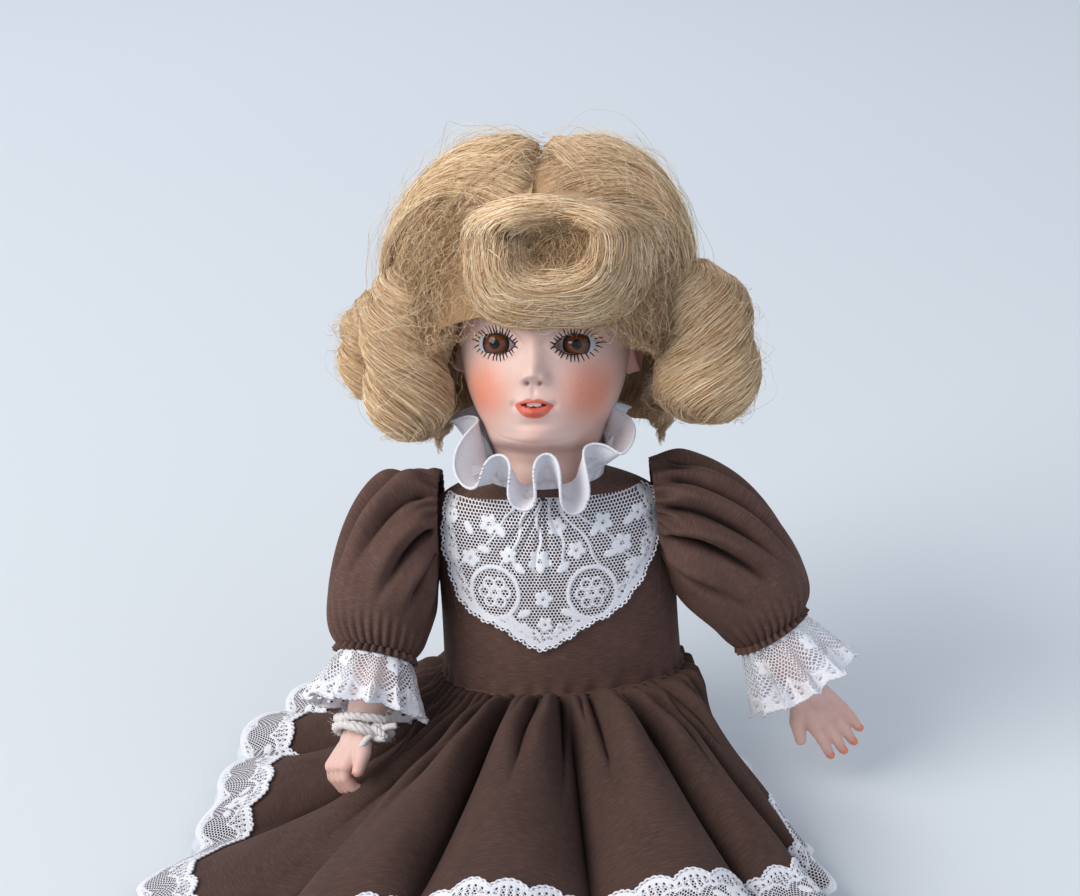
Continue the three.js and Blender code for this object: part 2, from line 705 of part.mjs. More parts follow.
// [height, half width, front, back] in the torso's frame, from the waist's seam to the neck
const BODICE_LEVELS = [
  [WAIST_HEIGHT, WAIST.width, WAIST.front, WAIST.back],
  [34, 37.8, 27.4, 25],
  [46, 37.6, 27.4, 25],
  [58, 37.8, 27, 25],
  [68, 38.2, 26, 24.5],
  [76, 38.4, 24.6, 23.8],
  [81.5, 37.4, 23.4, 23],
  [85, 33, 22.4, 22.2],
  [87.6, 26, 21.6, 21.4],
  [89, 20.8, 20.8, 20.8],
];

function bodice() {
  const cloth = ringShell(levels(BODICE_LEVELS), BODICE_LEVELS.length - 1, 20, DRESS_WALL);
  return cut(cloth, rod([-60, 0, SHOULDER_HEIGHT], [60, 0, SHOULDER_HEIGHT], 10.5, 12));
}

// The lace front lies on the bodice: a rounded shield with its point down.
function bib() {
  const outline = new THREE.Shape();
  outline.moveTo(-29, 80);
  outline.quadraticCurveTo(-31, 62, -22, 50);
  outline.quadraticCurveTo(-10, 41, 0, 38);
  outline.quadraticCurveTo(10, 41, 22, 50);
  outline.quadraticCurveTo(31, 62, 29, 80);
  outline.lineTo(-29, 80);
  const prism = new THREE.ExtrudeGeometry(outline, { depth: 60, bevelEnabled: false, curveSegments: 5 });
  prism.rotateX(Math.PI / 2).translate(0, -2, 0);
  const rings = levels(BODICE_LEVELS);
  const rows = BODICE_LEVELS.length - 1;
  return common(cut(ringSolid(rings, rows, 20, 1.3), ringSolid(rings, rows, 20, GAP)), prism);
}

// The ruffle stands round the neck, lowest in front, in soft waves.
function collar() {
  const waves = 8;
  const place = (angle, t, inset) => {
    const wave = t * Math.cos(waves * angle);
    const radius = 22 + 10 * t + 1.6 * wave - inset;
    const rim = 97 - 4 * Math.cos(angle);
    const z = lerp(89.8, rim, t) + 1.2 * wave;
    return new THREE.Vector3(radius * Math.sin(angle), -radius * Math.cos(angle), z);
  };
  return shell(place, 2, 4 * waves, 1.4);
}

// By angle: distance from the hem's middle to the hem, the hem's height, and how steeply the skirt falls
// to it. In front it passes over the shins.
const HEM_TABLE = [
  [0, 138, 28, 2],
  [22, 138, 28, 2],
  [34, 134, 17, 1.6],
  [46, 122, 5, 1.2],
  [58, 100, 0, 1.3],
  [70, 80, 0, 1.8],
  [84, 71, 0, 2],
  [104, 64, 0, 2],
  [140, 61, 0, 2],
  [180, 63, 0, 2],
  [225, 88, 0, 2.4],
  [256, 108, 0, 3.4],
  [272, 114, 0, 4],
  [286, 118, 0, 4.6],
  [296, 134, 0, 5],
  [304, 160, 0, 5],
  [316, 168, 0, 4.2],
  [328, 162, 10, 2.8],
  [341, 148, 26, 2],
  [350, 140, 28, 2],
  [360, 138, 28, 2],
];
const HEM_MIDDLE = new THREE.Vector3(5, -4, 0);
const HEM_BULK = 4.7; // the cloth's thickness where it lies on the floor
const FOLDS = 8;
const SKIRT_SIDES = 4 * FOLDS;
const SKIRT_ROWS = 5;

function hemAt(angle) {
  const degrees = THREE.MathUtils.euclideanModulo(THREE.MathUtils.radToDeg(angle), 360);
  const row = HEM_TABLE.findIndex(([until]) => until > degrees);
  const [before, after] = [HEM_TABLE[row - 1], HEM_TABLE[row]];
  const part = smooth(degrees, before[0], after[0]);
  const [, radius, height, fall] = before.map((value, k) => lerp(value, after[k], part));
  return { radius, height, fall };
}

// A skirt's skin from its waist down to its hem, with folds that die out at both ends.
function skirtPoint(angle, t, inset, drop = 0, shorter = 0) {
  const ring = { centre: new THREE.Vector3(0, 0, WAIST_HEIGHT - GAP - drop), ...WAIST };
  const waist = ringPoint(ring, angle, inset).applyMatrix4(torsoFrame.matrixWorld);
  const { radius, height, fall } = hemAt(angle);
  const reach = radius - shorter;
  const hem = HEM_MIDDLE.clone().add(new THREE.Vector3(reach * Math.sin(angle), -reach * Math.cos(angle), 0));
  const low = height + HEM_BULK;
  const fold = Math.max(0, 7 * t * (1 - t) * Math.cos(FOLDS * angle)) * smooth(height, -20, 28);
  const point = waist.clone().lerp(hem, t);
  point.z = low + (waist.z - low) * (1 - t) ** fall + fold - inset * smooth(t, 0, 0.3);
  return point;
}

function skirt() {
  return shell((angle, t, inset) => skirtPoint(angle, t, inset), SKIRT_ROWS, SKIRT_SIDES, 2);
}

function petticoat() {
  const place = (angle, t, inset) => skirtPoint(angle, t, inset + 3.4, 3, 3);
  return shell(place, SKIRT_ROWS, SKIRT_SIDES, 1.3);
}

function hemLace() {
  const start = 1 - 1 / SKIRT_ROWS;
  const place = (angle, t, inset) => skirtPoint(angle, lerp(start, 1, t), inset - 2.4);
  return shell(place, 1, SKIRT_SIDES, 0.8);
}

function buildDress() {
  add(torsoFrame, "bodice", bodice(), "cotton");
  add(torsoFrame, "bib", bib(), "lace");
  add(torsoFrame, "collar", collar(), "lace");
  add(doll, "skirt", skirt(), "cotton");
  add(doll, "petticoat", petticoat(), "batiste");
  add(doll, "hem_lace", hemLace(), "lace");
  [36, 54, 72].forEach((height, k) => {
    const snap = rod([0, 25.4, height], [0, 27, height], 2.6, 12);
    add(torsoFrame, `snap_${k + 1}`, snap, "wire");
  });
}

buildHead();
buildWig();
buildNeck();
buildTorso();
for (const [name, side] of [["right", -1], ["left", 1]]) {
  buildArm(name, side);
  buildLeg(name, side);
}
buildDress();

export default doll;
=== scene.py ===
"""A seated porcelain doll: bisque head and limbs, mohair wig in ringlets, brown cotton dress with lace.

Lengths in the constants and shape functions are millimetres; make() turns them into metres.
Each shape is given in the frame of its own body: HEAD, TORSO, SWING and SPREAD for the arms, LEG.
Side is -1 for the doll's right and 1 for its left. Angles round a body start at -Y and grow towards +X.
"""

import json
import math

import bpy
import numpy as np
from mathutils import Matrix, Vector


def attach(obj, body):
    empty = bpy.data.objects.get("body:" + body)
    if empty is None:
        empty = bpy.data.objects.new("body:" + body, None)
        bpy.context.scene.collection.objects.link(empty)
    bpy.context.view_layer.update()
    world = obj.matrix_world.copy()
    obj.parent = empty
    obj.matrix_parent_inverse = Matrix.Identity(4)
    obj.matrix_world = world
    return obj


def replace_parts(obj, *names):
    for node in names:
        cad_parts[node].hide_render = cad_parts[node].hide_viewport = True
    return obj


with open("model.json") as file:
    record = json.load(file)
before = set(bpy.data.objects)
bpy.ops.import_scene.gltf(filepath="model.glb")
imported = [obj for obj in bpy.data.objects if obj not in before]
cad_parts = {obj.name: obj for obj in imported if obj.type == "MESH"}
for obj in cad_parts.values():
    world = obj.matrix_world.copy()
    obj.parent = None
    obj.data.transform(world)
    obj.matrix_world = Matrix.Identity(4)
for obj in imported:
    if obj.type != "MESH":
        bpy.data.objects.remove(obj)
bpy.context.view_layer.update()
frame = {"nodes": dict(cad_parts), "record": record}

# ---- driving dimensions, the same as the CAD part's ----------------------------------------------

MM = 0.001
HIP = (5, -6, 19)
LEAN, ROLL = 6, 3
NECK_HEIGHT = 91
HEAD_PITCH, HEAD_YAW = 10, 6
SHOULDER_HEIGHT, SHOULDER_OUT, ARMHOLE_OUT = 77, 48, 39
ARM_SWING = {1: 9, -1: 31}
ARM_SPREAD = {1: 29, -1: 13}
SLEEVE_HEM, WRIST = 51, 74
HIP_JOINT, HIP_OUT = (5, -12, 14), 17
SOLE = 150
WAIST = (38.2, 27.5, 25)
LEFT_FULLNESS = 4.5  # how much wider the dress is on the doll's left
SIDE_NAME = {-1: "right", 1: "left"}


def turn(axis, degrees):
    return Matrix.Rotation(math.radians(degrees), 4, axis)


def shift(x, y, z):
    return Matrix.Translation((x, y, z))


FLOOR = Matrix.Identity(4)
TORSO = shift(*HIP) @ turn("X", -LEAN) @ turn("Y", -ROLL)
NECK = TORSO @ shift(0, 0, NECK_HEIGHT) @ turn("X", -HEAD_PITCH) @ turn("Y", ROLL)
HEAD = NECK @ turn("Z", -HEAD_YAW)
SWING, SPREAD, LEG = {}, {}, {}
for side in (-1, 1):
    SWING[side] = TORSO @ shift(side * SHOULDER_OUT, 0, SHOULDER_HEIGHT) @ turn("X", -ARM_SWING[side])
    SPREAD[side] = SWING[side] @ turn("Y", -side * ARM_SPREAD[side])
    LEG[side] = shift(HIP_JOINT[0] + side * HIP_OUT, *HIP_JOINT[1:]) @ turn("X", -90)

# ---- number helpers --------------------------------------------------------------------------------


def smooth(x, low, high):
    """0 below low, 1 above high, an even S between them; low may be above high."""
    t = np.clip((np.asarray(x, float) - low) / (high - low), 0, 1)
    return t * t * (3 - 2 * t)


def bump(*terms):
    """A rounded peak: each term is (offset, width)."""
    return np.exp(-sum((np.asarray(offset) / width) ** 2 for offset, width in terms))


def curve(table, x):
    """A smooth line through a table of (x, value, ...) rows; one array for each value."""
    table = np.asarray(table, float)
    knots = table[:, 0]
    x = np.clip(np.asarray(x, float), knots[0], knots[-1])
    row = np.clip(np.searchsorted(knots, x, side="right") - 1, 0, len(knots) - 2)
    step = knots[row + 1] - knots[row]
    t = (x - knots[row]) / step
    results = []
    for value in table[:, 1:].T:
        slope = np.gradient(value, knots)
        results.append(
            (2 * t**3 - 3 * t**2 + 1) * value[row]
            + (t**3 - 2 * t**2 + t) * step * slope[row]
            + (3 * t**2 - 2 * t**3) * value[row + 1]
            + (t**3 - t**2) * step * slope[row + 1]
        )
    return results


def ripple(x, seed, octaves=3):
    """An even, smooth, random wave of a number, about -1 to 1, repeating every 1."""
    rng = np.random.default_rng(seed)
    total = 0
    for k in range(octaves):
        for harmonic in (2**k, 2**k + 1):
            phase = rng.uniform(0, 2 * math.pi)
            total = total + np.sin(2 * math.pi * harmonic * np.asarray(x) + phase) / (k + 1.5)
    return total / 2.2


def unit(vectors):
    return vectors / np.maximum(np.linalg.norm(vectors, axis=-1, keepdims=True), 1e-9)


def points_at(x, y, z):
    return np.stack(np.broadcast_arrays(*(np.asarray(v, float) for v in (x, y, z))), -1)


def placed(matrix, points):
    m = np.array(matrix)
    return np.asarray(points, float) @ m[:3, :3].T + m[:3, 3]


# ---- mesh helpers ----------------------------------------------------------------------------------


def grid(rows, columns, closed=False):
    """Quads between rows of points; where closed, the last column joins the first."""
    r = np.arange(rows - 1)[:, None]
    c = np.arange(columns if closed else columns - 1)[None, :]
    after = (c + 1) % columns
    low, high = r * columns, (r + 1) * columns
    return np.stack([low + c, low + after, high + after, high + c], -1).reshape(-1, 4)


def mesh_of(name, points, polygons, uv=None, values=None):
    """A mesh from an (n, 3) array in metres and arrays of equal-sided polygons."""
    mesh = bpy.data.meshes.new(name)
    polygons = [np.asarray(p, np.int32) for p in polygons if len(p)]
    corners = np.concatenate([p.ravel() for p in polygons])
    sizes = np.concatenate([np.full(len(p), p.shape[1], np.int32) for p in polygons])
    mesh.vertices.add(len(points))
    mesh.vertices.foreach_set("co", np.asarray(points, np.float32).ravel())
    mesh.loops.add(len(corners))
    mesh.loops.foreach_set("vertex_index", corners)
    mesh.polygons.add(len(sizes))
    mesh.polygons.foreach_set("loop_start", np.concatenate([[0], np.cumsum(sizes)[:-1]]).astype(np.int32))
    mesh.polygons.foreach_set("loop_total", sizes)
    mesh.polygons.foreach_set("use_smooth", np.ones(len(sizes), bool))
    if uv is not None:
        layer = mesh.uv_layers.new(name="UVMap")
        layer.data.foreach_set("uv", np.asarray(uv, np.float32).reshape(-1, 2)[corners].ravel())
    for key, value in (values or {}).items():
        attribute = mesh.attributes.new(key, "FLOAT", "POINT")
        attribute.data.foreach_set("value", np.asarray(value, np.float32).ravel())
    mesh.update(calc_edges=True)
    mesh.validate()
    return mesh


def make(name, points, polygons, matrix, materials, body, **extra):
    """A piece from points in millimetres in a body's frame, riding on that body."""
    slot = extra.pop("slot", None)
    polygons = polygons if isinstance(polygons, list) else [polygons]
    world = placed(matrix, np.asarray(points, float).reshape(-1, 3)) * MM
    obj = bpy.data.objects.new(name, mesh_of(name, world, polygons, **extra))
    bpy.context.scene.collection.objects.link(obj)
    for material in materials if isinstance(materials, list) else [materials]:
        obj.data.materials.append(material)
    if body:
        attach(obj, body)
    return obj


def frozen(obj):
    """The object with its modifiers applied."""
    evaluated = obj.evaluated_get(bpy.context.evaluated_depsgraph_get())
    mesh = bpy.data.meshes.new_from_object(evaluated)
    obj.modifiers.clear()
    obj.data = mesh
    mesh.polygons.foreach_set("use_smooth", np.ones(len(mesh.polygons), bool))
    return obj


def thick(obj, wall):
    """Gives a sheet its two faces."""
    modifier = obj.modifiers.new("wall", "SOLIDIFY")
    modifier.thickness = wall * MM
    modifier.offset = 0
    return frozen(obj)


def tube_places(rows, columns):
    """Where a tube's points lie: 0 to 1 along its length, as a column, and angles round it, as a row."""
    along = np.linspace(0, 1, rows)[:, None]
    around = np.linspace(0, 2 * math.pi, columns, endpoint=False)[None]
    return along, around


def length_uv(points):
    """Texture coordinates in millimetres along a grid's two directions, measured at its middle."""
    across = np.linalg.norm(np.diff(points, axis=1), axis=-1).mean(0)
    down = np.linalg.norm(np.diff(points, axis=0), axis=-1).mean(1)
    u = np.concatenate([[0], np.cumsum(across)])
    v = np.concatenate([[0], np.cumsum(down)])
    return np.stack(np.broadcast_arrays(u[None, :], v[:, None]), -1)


def tube_uv(points):
    """The same for a tube, whose last column joins its first."""
    return length_uv(np.concatenate([points, points[:, :1]], 1))[:, :-1]


def tubes(paths, radii, sides=3):
    """Bars along the (n, k, 3) paths, with closed ends: their points and polygons."""
    paths = np.asarray(paths, float)
    count, steps, _ = paths.shape
    along = unit(np.gradient(paths, axis=1))
    guide = np.where(np.abs(along[..., 2:]) > 0.9, [1.0, 0, 0], [0, 0, 1.0])
    across = unit(np.cross(along, guide))
    other = np.cross(along, across)
    angle = 2 * math.pi * np.arange(sides) / sides
    ring = across[:, :, None] * np.cos(angle)[:, None] + other[:, :, None] * np.sin(angle)[:, None]
    radii = np.broadcast_to(np.asarray(radii, float), (count, steps))
    points = paths[:, :, None] + ring * radii[:, :, None, None]
    first = (np.arange(count) * steps * sides)[:, None, None]
    walls = (grid(steps, sides, True)[None] + first).reshape(-1, 4)
    start = (np.arange(sides)[::-1][None] + first[:, 0]).reshape(-1, sides)
    end = (np.arange(sides)[None] + first[:, 0] + (steps - 1) * sides).reshape(-1, sides)
    return points.reshape(-1, 3), [walls, start, end]


def line_through(points, count):
    """A smooth path of count points through a few."""
    points = np.asarray(points, float)
    knots = np.concatenate([[0], np.cumsum(np.linalg.norm(np.diff(points, axis=0), axis=1))])
    table = np.column_stack([knots, points])
    return np.stack(curve(table, np.linspace(0, knots[-1], count)), -1)


# ---- materials -------------------------------------------------------------------------------------


class Shader:
    """A material's node tree, built a node at a time."""

    def __init__(self, name, colour, roughness, **sockets):
        self.material = bpy.data.materials.new(name)
        self.material.use_nodes = True
        self.tree = self.material.node_tree
        self.surface = self.tree.nodes["Principled BSDF"]
        self.set("Base Color", (*linear(colour), 1))
        self.set("Roughness", roughness)
        for key, value in sockets.items():
            self.set(key.replace("_", " "), value)

    def set(self, socket, value):
        if isinstance(value, bpy.types.NodeSocket):
            self.tree.links.new(value, self.surface.inputs[socket])
        else:
            self.surface.inputs[socket].default_value = value

    def node(self, kind, inputs=None, output=0, **settings):
        made = self.tree.nodes.new("ShaderNode" + kind)
        for key, value in settings.items():
            setattr(made, key, value)
        for key, value in (inputs or {}).items():
            if isinstance(value, bpy.types.NodeSocket):
                self.tree.links.new(value, made.inputs[key])
            else:
                made.inputs[key].default_value = value
        return made.outputs[output]

    def maths(self, operation, a, b=0.0, c=0.0):
        return self.node("Math", {0: a, 1: b, 2: c}, operation=operation)

    def vector(self, operation, a, b=(0, 0, 0), output=0):
        return self.node("VectorMath", {0: a, 1: b}, output, operation=operation)

    def place(self, scale=(1, 1, 1), source="Object"):
        spot = self.node("TexCoord", output={"Generated": 0, "UV": 2, "Object": 3}[source])
        return self.node("Mapping", {0: spot, 3: scale})

    def noise(self, spot, scale, detail=3.0, roughness=0.55):
        sockets = {"Vector": spot, "Scale": scale, "Detail": detail, "Roughness": roughness}
        return self.node("TexNoise", sockets)

    def span(self, value, low, high, to_low=0.0, to_high=1.0):
        return self.node("MapRange", {0: value, 1: low, 2: high, 3: to_low, 4: to_high})

    def mix(self, factor, a, b):
        made = self.tree.nodes.new("ShaderNodeMix")
        made.data_type = "RGBA"
        for key, value in ((0, factor), (6, a), (7, b)):
            if isinstance(value, bpy.types.NodeSocket):
                self.tree.links.new(value, made.inputs[key])
            else:
                made.inputs[key].default_value = value if key == 0 else (*linear(value), 1)
        return made.outputs[2]

    def value(self, name):
        return self.node("Attribute", output=2, attribute_name=name)

    def relief(self, height, strength, distance):
        bumped = self.node("Bump", {"Height": height, "Strength": strength, "Distance": distance * MM})
        self.set("Normal", bumped)


def linear(colour):
    """An (r, g, b) of 0 to 255 as scene light."""
    share = np.asarray(colour, float) / 255
    light = np.where(share <= 0.04045, share / 12.92, ((share + 0.055) / 1.055) ** 2.4)
    return tuple(float(c) for c in light)


def speckled(name, colour, roughness, other, scale, **sockets):
    """A finish with cloudy and fine variation of colour and a fine grain."""
    s = Shader(name, colour, roughness, **sockets)
    spot = s.place()
    cloud = s.span(s.noise(spot, scale), 0.35, 0.65)
    grain = s.noise(spot, scale * 12, 2)
    s.set("Base Color", s.mix(cloud, colour, other))
    s.set("Roughness", s.span(grain, 0.3, 0.7, max(0.05, roughness - 0.08), min(1, roughness + 0.08)))
    s.relief(grain, 0.2, 0.05)
    return s.material


SKIN = (214, 178, 166)
SKIN_PALE = (220, 191, 181)
CORAL = (216, 120, 88)
LIP = (206, 84, 62)


def bisque(name):
    """Unglazed porcelain with its paint fired on, blush and lips, plus painted shade in the hollows, all
    where the mesh's values say.
    """
    s = Shader(name, SKIN, 0.5, Specular_IOR_Level=0.35, Subsurface_Weight=0.06, Subsurface_Scale=0.002)
    spot = s.place()
    cloud = s.span(s.noise(spot, 60), 0.3, 0.7)
    skin = s.mix(cloud, SKIN, SKIN_PALE)
    stipple = s.span(s.noise(spot, 900, 4, 0.7), 0.35, 0.65, 0.86, 1.06)
    blush = s.maths("MULTIPLY", s.value("blush"), stipple)
    skin = s.mix(blush, skin, CORAL)
    # painted shade: the value shadow darkens the nostrils, the mouth's opening, the eye rims and the ear's
    # hollow
    skin = s.mix(s.value("shadow"), skin, (120, 62, 52))
    stroke = s.span(s.noise(s.place((700, 200, 90)), 1.0, 2), 0.3, 0.7, 0.8, 1.0)
    skin = s.mix(s.maths("MULTIPLY", s.value("lip"), stroke), skin, LIP)
    s.set("Base Color", skin)
    grain = s.noise(spot, 1600, 2)
    s.set("Roughness", s.span(grain, 0.3, 0.7, 0.42, 0.56))
    s.relief(grain, 0.12, 0.03)
    return s.material


def cotton(name, colour, light, dark, thread=0.34, sheen=0.25):
    """Plain-woven cotton: warp and weft, slubs, cloudy fading, and painted shade in the fold hollows told by
    the mesh's value valley; UV is in millimetres.
    """
    s = Shader(name, colour, 0.86, Sheen_Weight=sheen, Sheen_Roughness=0.45, Specular_IOR_Level=0.2)
    s.set("Sheen Tint", (*linear(light), 1))
    spot = s.place(source="UV")
    pitch = 1 / thread
    warp = s.node("TexWave", {"Vector": spot, "Scale": pitch / 2, "Distortion": 0.6, "Detail": 1}, 1)
    turned = s.node("Mapping", {0: spot, 2: (0, 0, math.pi / 2)})
    weft = s.node("TexWave", {"Vector": turned, "Scale": pitch / 2, "Distortion": 0.6, "Detail": 1}, 1)
    weave = s.maths("MAXIMUM", warp, weft)
    slub = s.noise(s.node("Mapping", {0: spot, 3: (0.25, 3.0, 1)}), 1.0, 3)
    cloud = s.noise(spot, 0.09, 4)
    tone = s.mix(s.span(cloud, 0.35, 0.7, 0.6, 1), dark, colour)
    tone = s.mix(s.span(slub, 0.45, 0.75, 0, 0.35), tone, light)
    tone = s.mix(s.span(weave, 0, 1, 0.25, 0), tone, dark)
    # painted shade: towards 0.45 of the dark tone where the mesh's value valley marks a fold's hollow
    tone = s.mix(s.span(s.value("valley"), 0, 1, 0, 0.9), tone, [0.45 * c for c in dark])
    s.set("Base Color", tone)
    s.relief(weave, 0.25, 0.06)
    return s.material


def lace_net(name, cell=1.15, wire=0.16):
    """Machine net: threads along the sides of hexagons, open between them; UV is in millimetres.
    The mesh's value solid closes it for edges and woven motifs."""
    s = Shader(name, (244, 244, 248), 0.8, Sheen_Weight=0.2, Specular_IOR_Level=0.25)
    spot = s.node("Mapping", {0: s.node("TexCoord", output=2), 3: (1 / cell, 1 / cell, 1)})
    halves = []
    for offset in ((0, 0, 0), (0.5, math.sqrt(3) / 2, 0)):
        moved = s.vector("ADD", spot, offset)
        sockets = {0: moved, 1: (0.5, math.sqrt(3) / 2, 1), 2: (-0.5, -math.sqrt(3) / 2, 0)}
        wrapped = s.node("VectorMath", sockets, operation="WRAP")
        halves.append(s.vector("ABSOLUTE", wrapped))
    lengths = [s.vector("LENGTH", h, output=1) for h in halves]
    nearer = s.maths("LESS_THAN", lengths[0], lengths[1])
    chosen = s.tree.nodes.new("ShaderNodeMix")
    chosen.data_type = "VECTOR"
    s.tree.links.new(nearer, chosen.inputs[0])
    s.tree.links.new(halves[1], chosen.inputs[4])
    s.tree.links.new(halves[0], chosen.inputs[5])
    inside = chosen.outputs[1]
    slanted = s.vector("DOT_PRODUCT", inside, (0.5, math.sqrt(3) / 2, 0), output=1)
    straight = s.node("SeparateXYZ", {0: inside})
    reach = s.maths("MAXIMUM", slanted, straight)
    thread = s.span(reach, 0.5 - wire, 0.5 - wire + 0.05)
    solid = s.maths("MAXIMUM", thread, s.value("solid"))
    fuzz = s.noise(s.place((1, 1, 1), "UV"), 2.2, 3)
    s.set("Base Color", s.mix(s.span(fuzz, 0.3, 0.7), (214, 214, 222), (236, 236, 240)))
    s.set("Alpha", solid)
    s.relief(fuzz, 0.4, 0.1)
    return s.material


def threads(name, colour, shade, pitch=1.6):
    """Twisted or embroidered thread."""
    s = Shader(name, colour, 0.8, Sheen_Weight=0.25, Specular_IOR_Level=0.25)
    spot = s.place((1000, 1000, 1000))
    wave = s.node("TexWave", {"Vector": spot, "Scale": pitch, "Distortion": 1.5, "Detail": 2}, 1)
    s.set("Base Color", s.mix(wave, shade, colour))
    s.relief(wave, 0.4, 0.08)
    return s.material


def hair_base(name):
    """The mass of hair under the loose strands: streaks along its flow, which is v of its UV."""
    s = Shader(name, (196, 160, 118), 0.6, Sheen_Weight=0.15, Specular_IOR_Level=0.25)
    fine = s.noise(s.place((3.2, 0.05, 1), "UV"), 1.0, 4, 0.65)
    broad = s.noise(s.place((0.35, 0.02, 1), "UV"), 1.0, 3)
    tone = s.mix(s.span(fine, 0.3, 0.7), (146, 108, 72), (226, 190, 146))
    tone = s.mix(s.span(broad, 0.4, 0.7, 0, 0.5), tone, (176, 136, 94))
    s.set("Base Color", tone)
    s.relief(fine, 0.9, 0.35)
    return s.material


def iris_glass():
    """Painted glass: white, dark rim, brown fibres and pupil, placed by the mesh's values out and around."""
    s = Shader("eye_glass", (214, 214, 216), 0.05, Specular_IOR_Level=0.4)
    r, turnings = s.value("out"), s.value("around")
    fibres = s.node("CombineXYZ", {0: s.maths("MULTIPLY", turnings, 9.0), 1: s.maths("MULTIPLY", r, 0.7)})
    fibre = s.noise(fibres, 1.6, 4, 0.7)
    brown = s.mix(s.span(fibre, 0.35, 0.7), (52, 24, 14), (138, 80, 46))
    brown = s.mix(s.span(r, 2.8, 4.1), brown, (40, 20, 14))
    tone = s.mix(s.span(r, 1.55, 1.75), (6, 5, 6), brown)
    tone = s.mix(s.span(r, 4.0, 4.2), tone, (16, 12, 12))
    tone = s.mix(s.span(r, 4.4, 4.7), tone, (182, 184, 192))
    s.set("Base Color", tone)
    return s.material


BISQUE = bisque("bisque")
EYE = iris_glass()
PAINT_BLACK = Shader("lash_paint", (24, 18, 18), 0.5).material
PAINT_BROWN = Shader("brow_paint", (136, 96, 78), 0.6).material
NAIL = speckled("nail_paint", (222, 120, 90), 0.4, (232, 142, 112), 900)
HAIR = hair_base("hair_mass")
STRAND_COLOURS = [(234, 200, 156), (216, 180, 136), (246, 220, 182), (188, 150, 108), (252, 234, 202)]
STRANDS = [
    Shader(f"strand_{k}", colour, 0.42, Specular_IOR_Level=0.45, Sheen_Weight=0.08).material
    for k, colour in enumerate(STRAND_COLOURS)
]
BROWN = cotton("brown_cotton", (92, 68, 61), (140, 110, 100), (62, 44, 39))
# The skirt's cotton is the same cloth painted darker: painted shade, so the lap reads less lit than the
# bodice.
BROWN_LAP_SHADED = cotton("brown_cotton_lap_shaded", (76, 56, 50), (112, 88, 80), (50, 36, 32))
BATISTE = cotton("white_batiste", (222, 227, 236), (238, 240, 246), (198, 206, 220), thread=0.25, sheen=0.1)
LACE = lace_net("lace_net")
LACE_FINE = lace_net("lace_net_fine", 0.8, 0.3)
LACE_THREAD = threads("lace_thread", (236, 236, 240), (210, 210, 218))
YARN = threads("wool_yarn", (232, 228, 226), (204, 198, 196), 0.7)
LEATHER = speckled("shoe_leather", (44, 33, 28), 0.42, (66, 50, 42), 300, Coat_Weight=0.2)
SOLE_LEATHER = speckled("sole_leather", (120, 92, 66), 0.7, (92, 68, 48), 200)
BUCKLE = speckled("buckle_brass", (196, 164, 96), 0.28, (150, 120, 66), 500, Metallic=1.0)

CAD_FINISH = {
    "composition": speckled("composition", (214, 174, 148), 0.6, (196, 150, 122), 80),
    "plaster": speckled("plaster", (230, 226, 216), 0.9, (206, 200, 186), 120),
    "enamel": speckled("enamel", (246, 242, 234), 0.2, (232, 224, 208), 300),
    "cork": speckled("cork", (176, 138, 94), 0.9, (128, 92, 58), 500),
    "net": speckled("net", (143, 116, 80), 0.95, (110, 84, 54), 700),
    "wood": speckled("wood", (156, 116, 72), 0.65, (120, 84, 50), 150),
    "wire": speckled("wire", (150, 152, 156), 0.35, (118, 118, 122), 400, Metallic=1.0),
    "elastic": speckled("elastic", (217, 212, 200), 0.9, (190, 184, 170), 600),
    "bisque": BISQUE,
    "lace": LACE_THREAD,
    "batiste": BATISTE,
    "cotton": BROWN,
    "yarn": YARN,
    "leather": LEATHER,
    "mohair": STRANDS[1],
    "eye_glass": EYE,
}

# ---- camera, floor and light -----------------------------------------------------------------------

CAMERA_TARGET = Vector((-1.6, -30, 131))
CAMERA_DISTANCE = 672
CAMERA_ELEVATION = 22
LENS = 70


def build_studio():
    scene = bpy.context.scene
    camera = bpy.data.objects.new("camera", bpy.data.cameras.new("camera"))
    scene.collection.objects.link(camera)
    rise = math.radians(CAMERA_ELEVATION)
    back = Vector((0, -math.cos(rise), math.sin(rise))) * CAMERA_DISTANCE
    camera.location = (CAMERA_TARGET + back) * MM
    camera.rotation_euler = (math.pi / 2 - rise, 0, 0)
    camera.data.lens, camera.data.sensor_width = LENS, 36
    camera.data.clip_start, camera.data.clip_end = 0.01, 50
    scene.camera = camera
    scene.view_settings.view_transform = "Standard"

    bpy.ops.mesh.primitive_plane_add(size=16, location=(0, 0, -0.0003))
    floor = bpy.context.object
    floor.name = "floor"
    paper = Shader("paper", (212, 217, 221), 0.9, Specular_IOR_Level=0.1)
    floor.data.materials.append(paper.material)

    world = bpy.data.worlds.new("studio")
    world.use_nodes = True
    world.node_tree.nodes["Background"].inputs[0].default_value = (*linear((226, 234, 246)), 1)
    world.node_tree.nodes["Background"].inputs[1].default_value = 0.66
    scene.world = world
    lamp("window", (-1.8, -1.0, 1.55), (0, 0, 0.1), 1.7, 58, (255, 250, 244))
    lamp("fill", (1.6, -1.6, 0.9), (0, 0, 0.12), 2.2, 7, (224, 234, 255))
    lamp("rear", (-0.5, 1.8, 1.6), (0, 0, 0.15), 1.6, 12, (240, 246, 255))


def lamp(name, place, target, size, power, colour):
    light = bpy.data.lights.new(name, "AREA")
    light.size, light.energy = size, power
    light.color = linear(colour)
    obj = bpy.data.objects.new(name, light)
    obj.location = place
    obj.rotation_euler = (Vector(target) - Vector(place)).to_track_quat("-Z", "Y").to_euler()
    bpy.context.scene.collection.objects.link(obj)


# ---- head ------------------------------------------------------------------------------------------

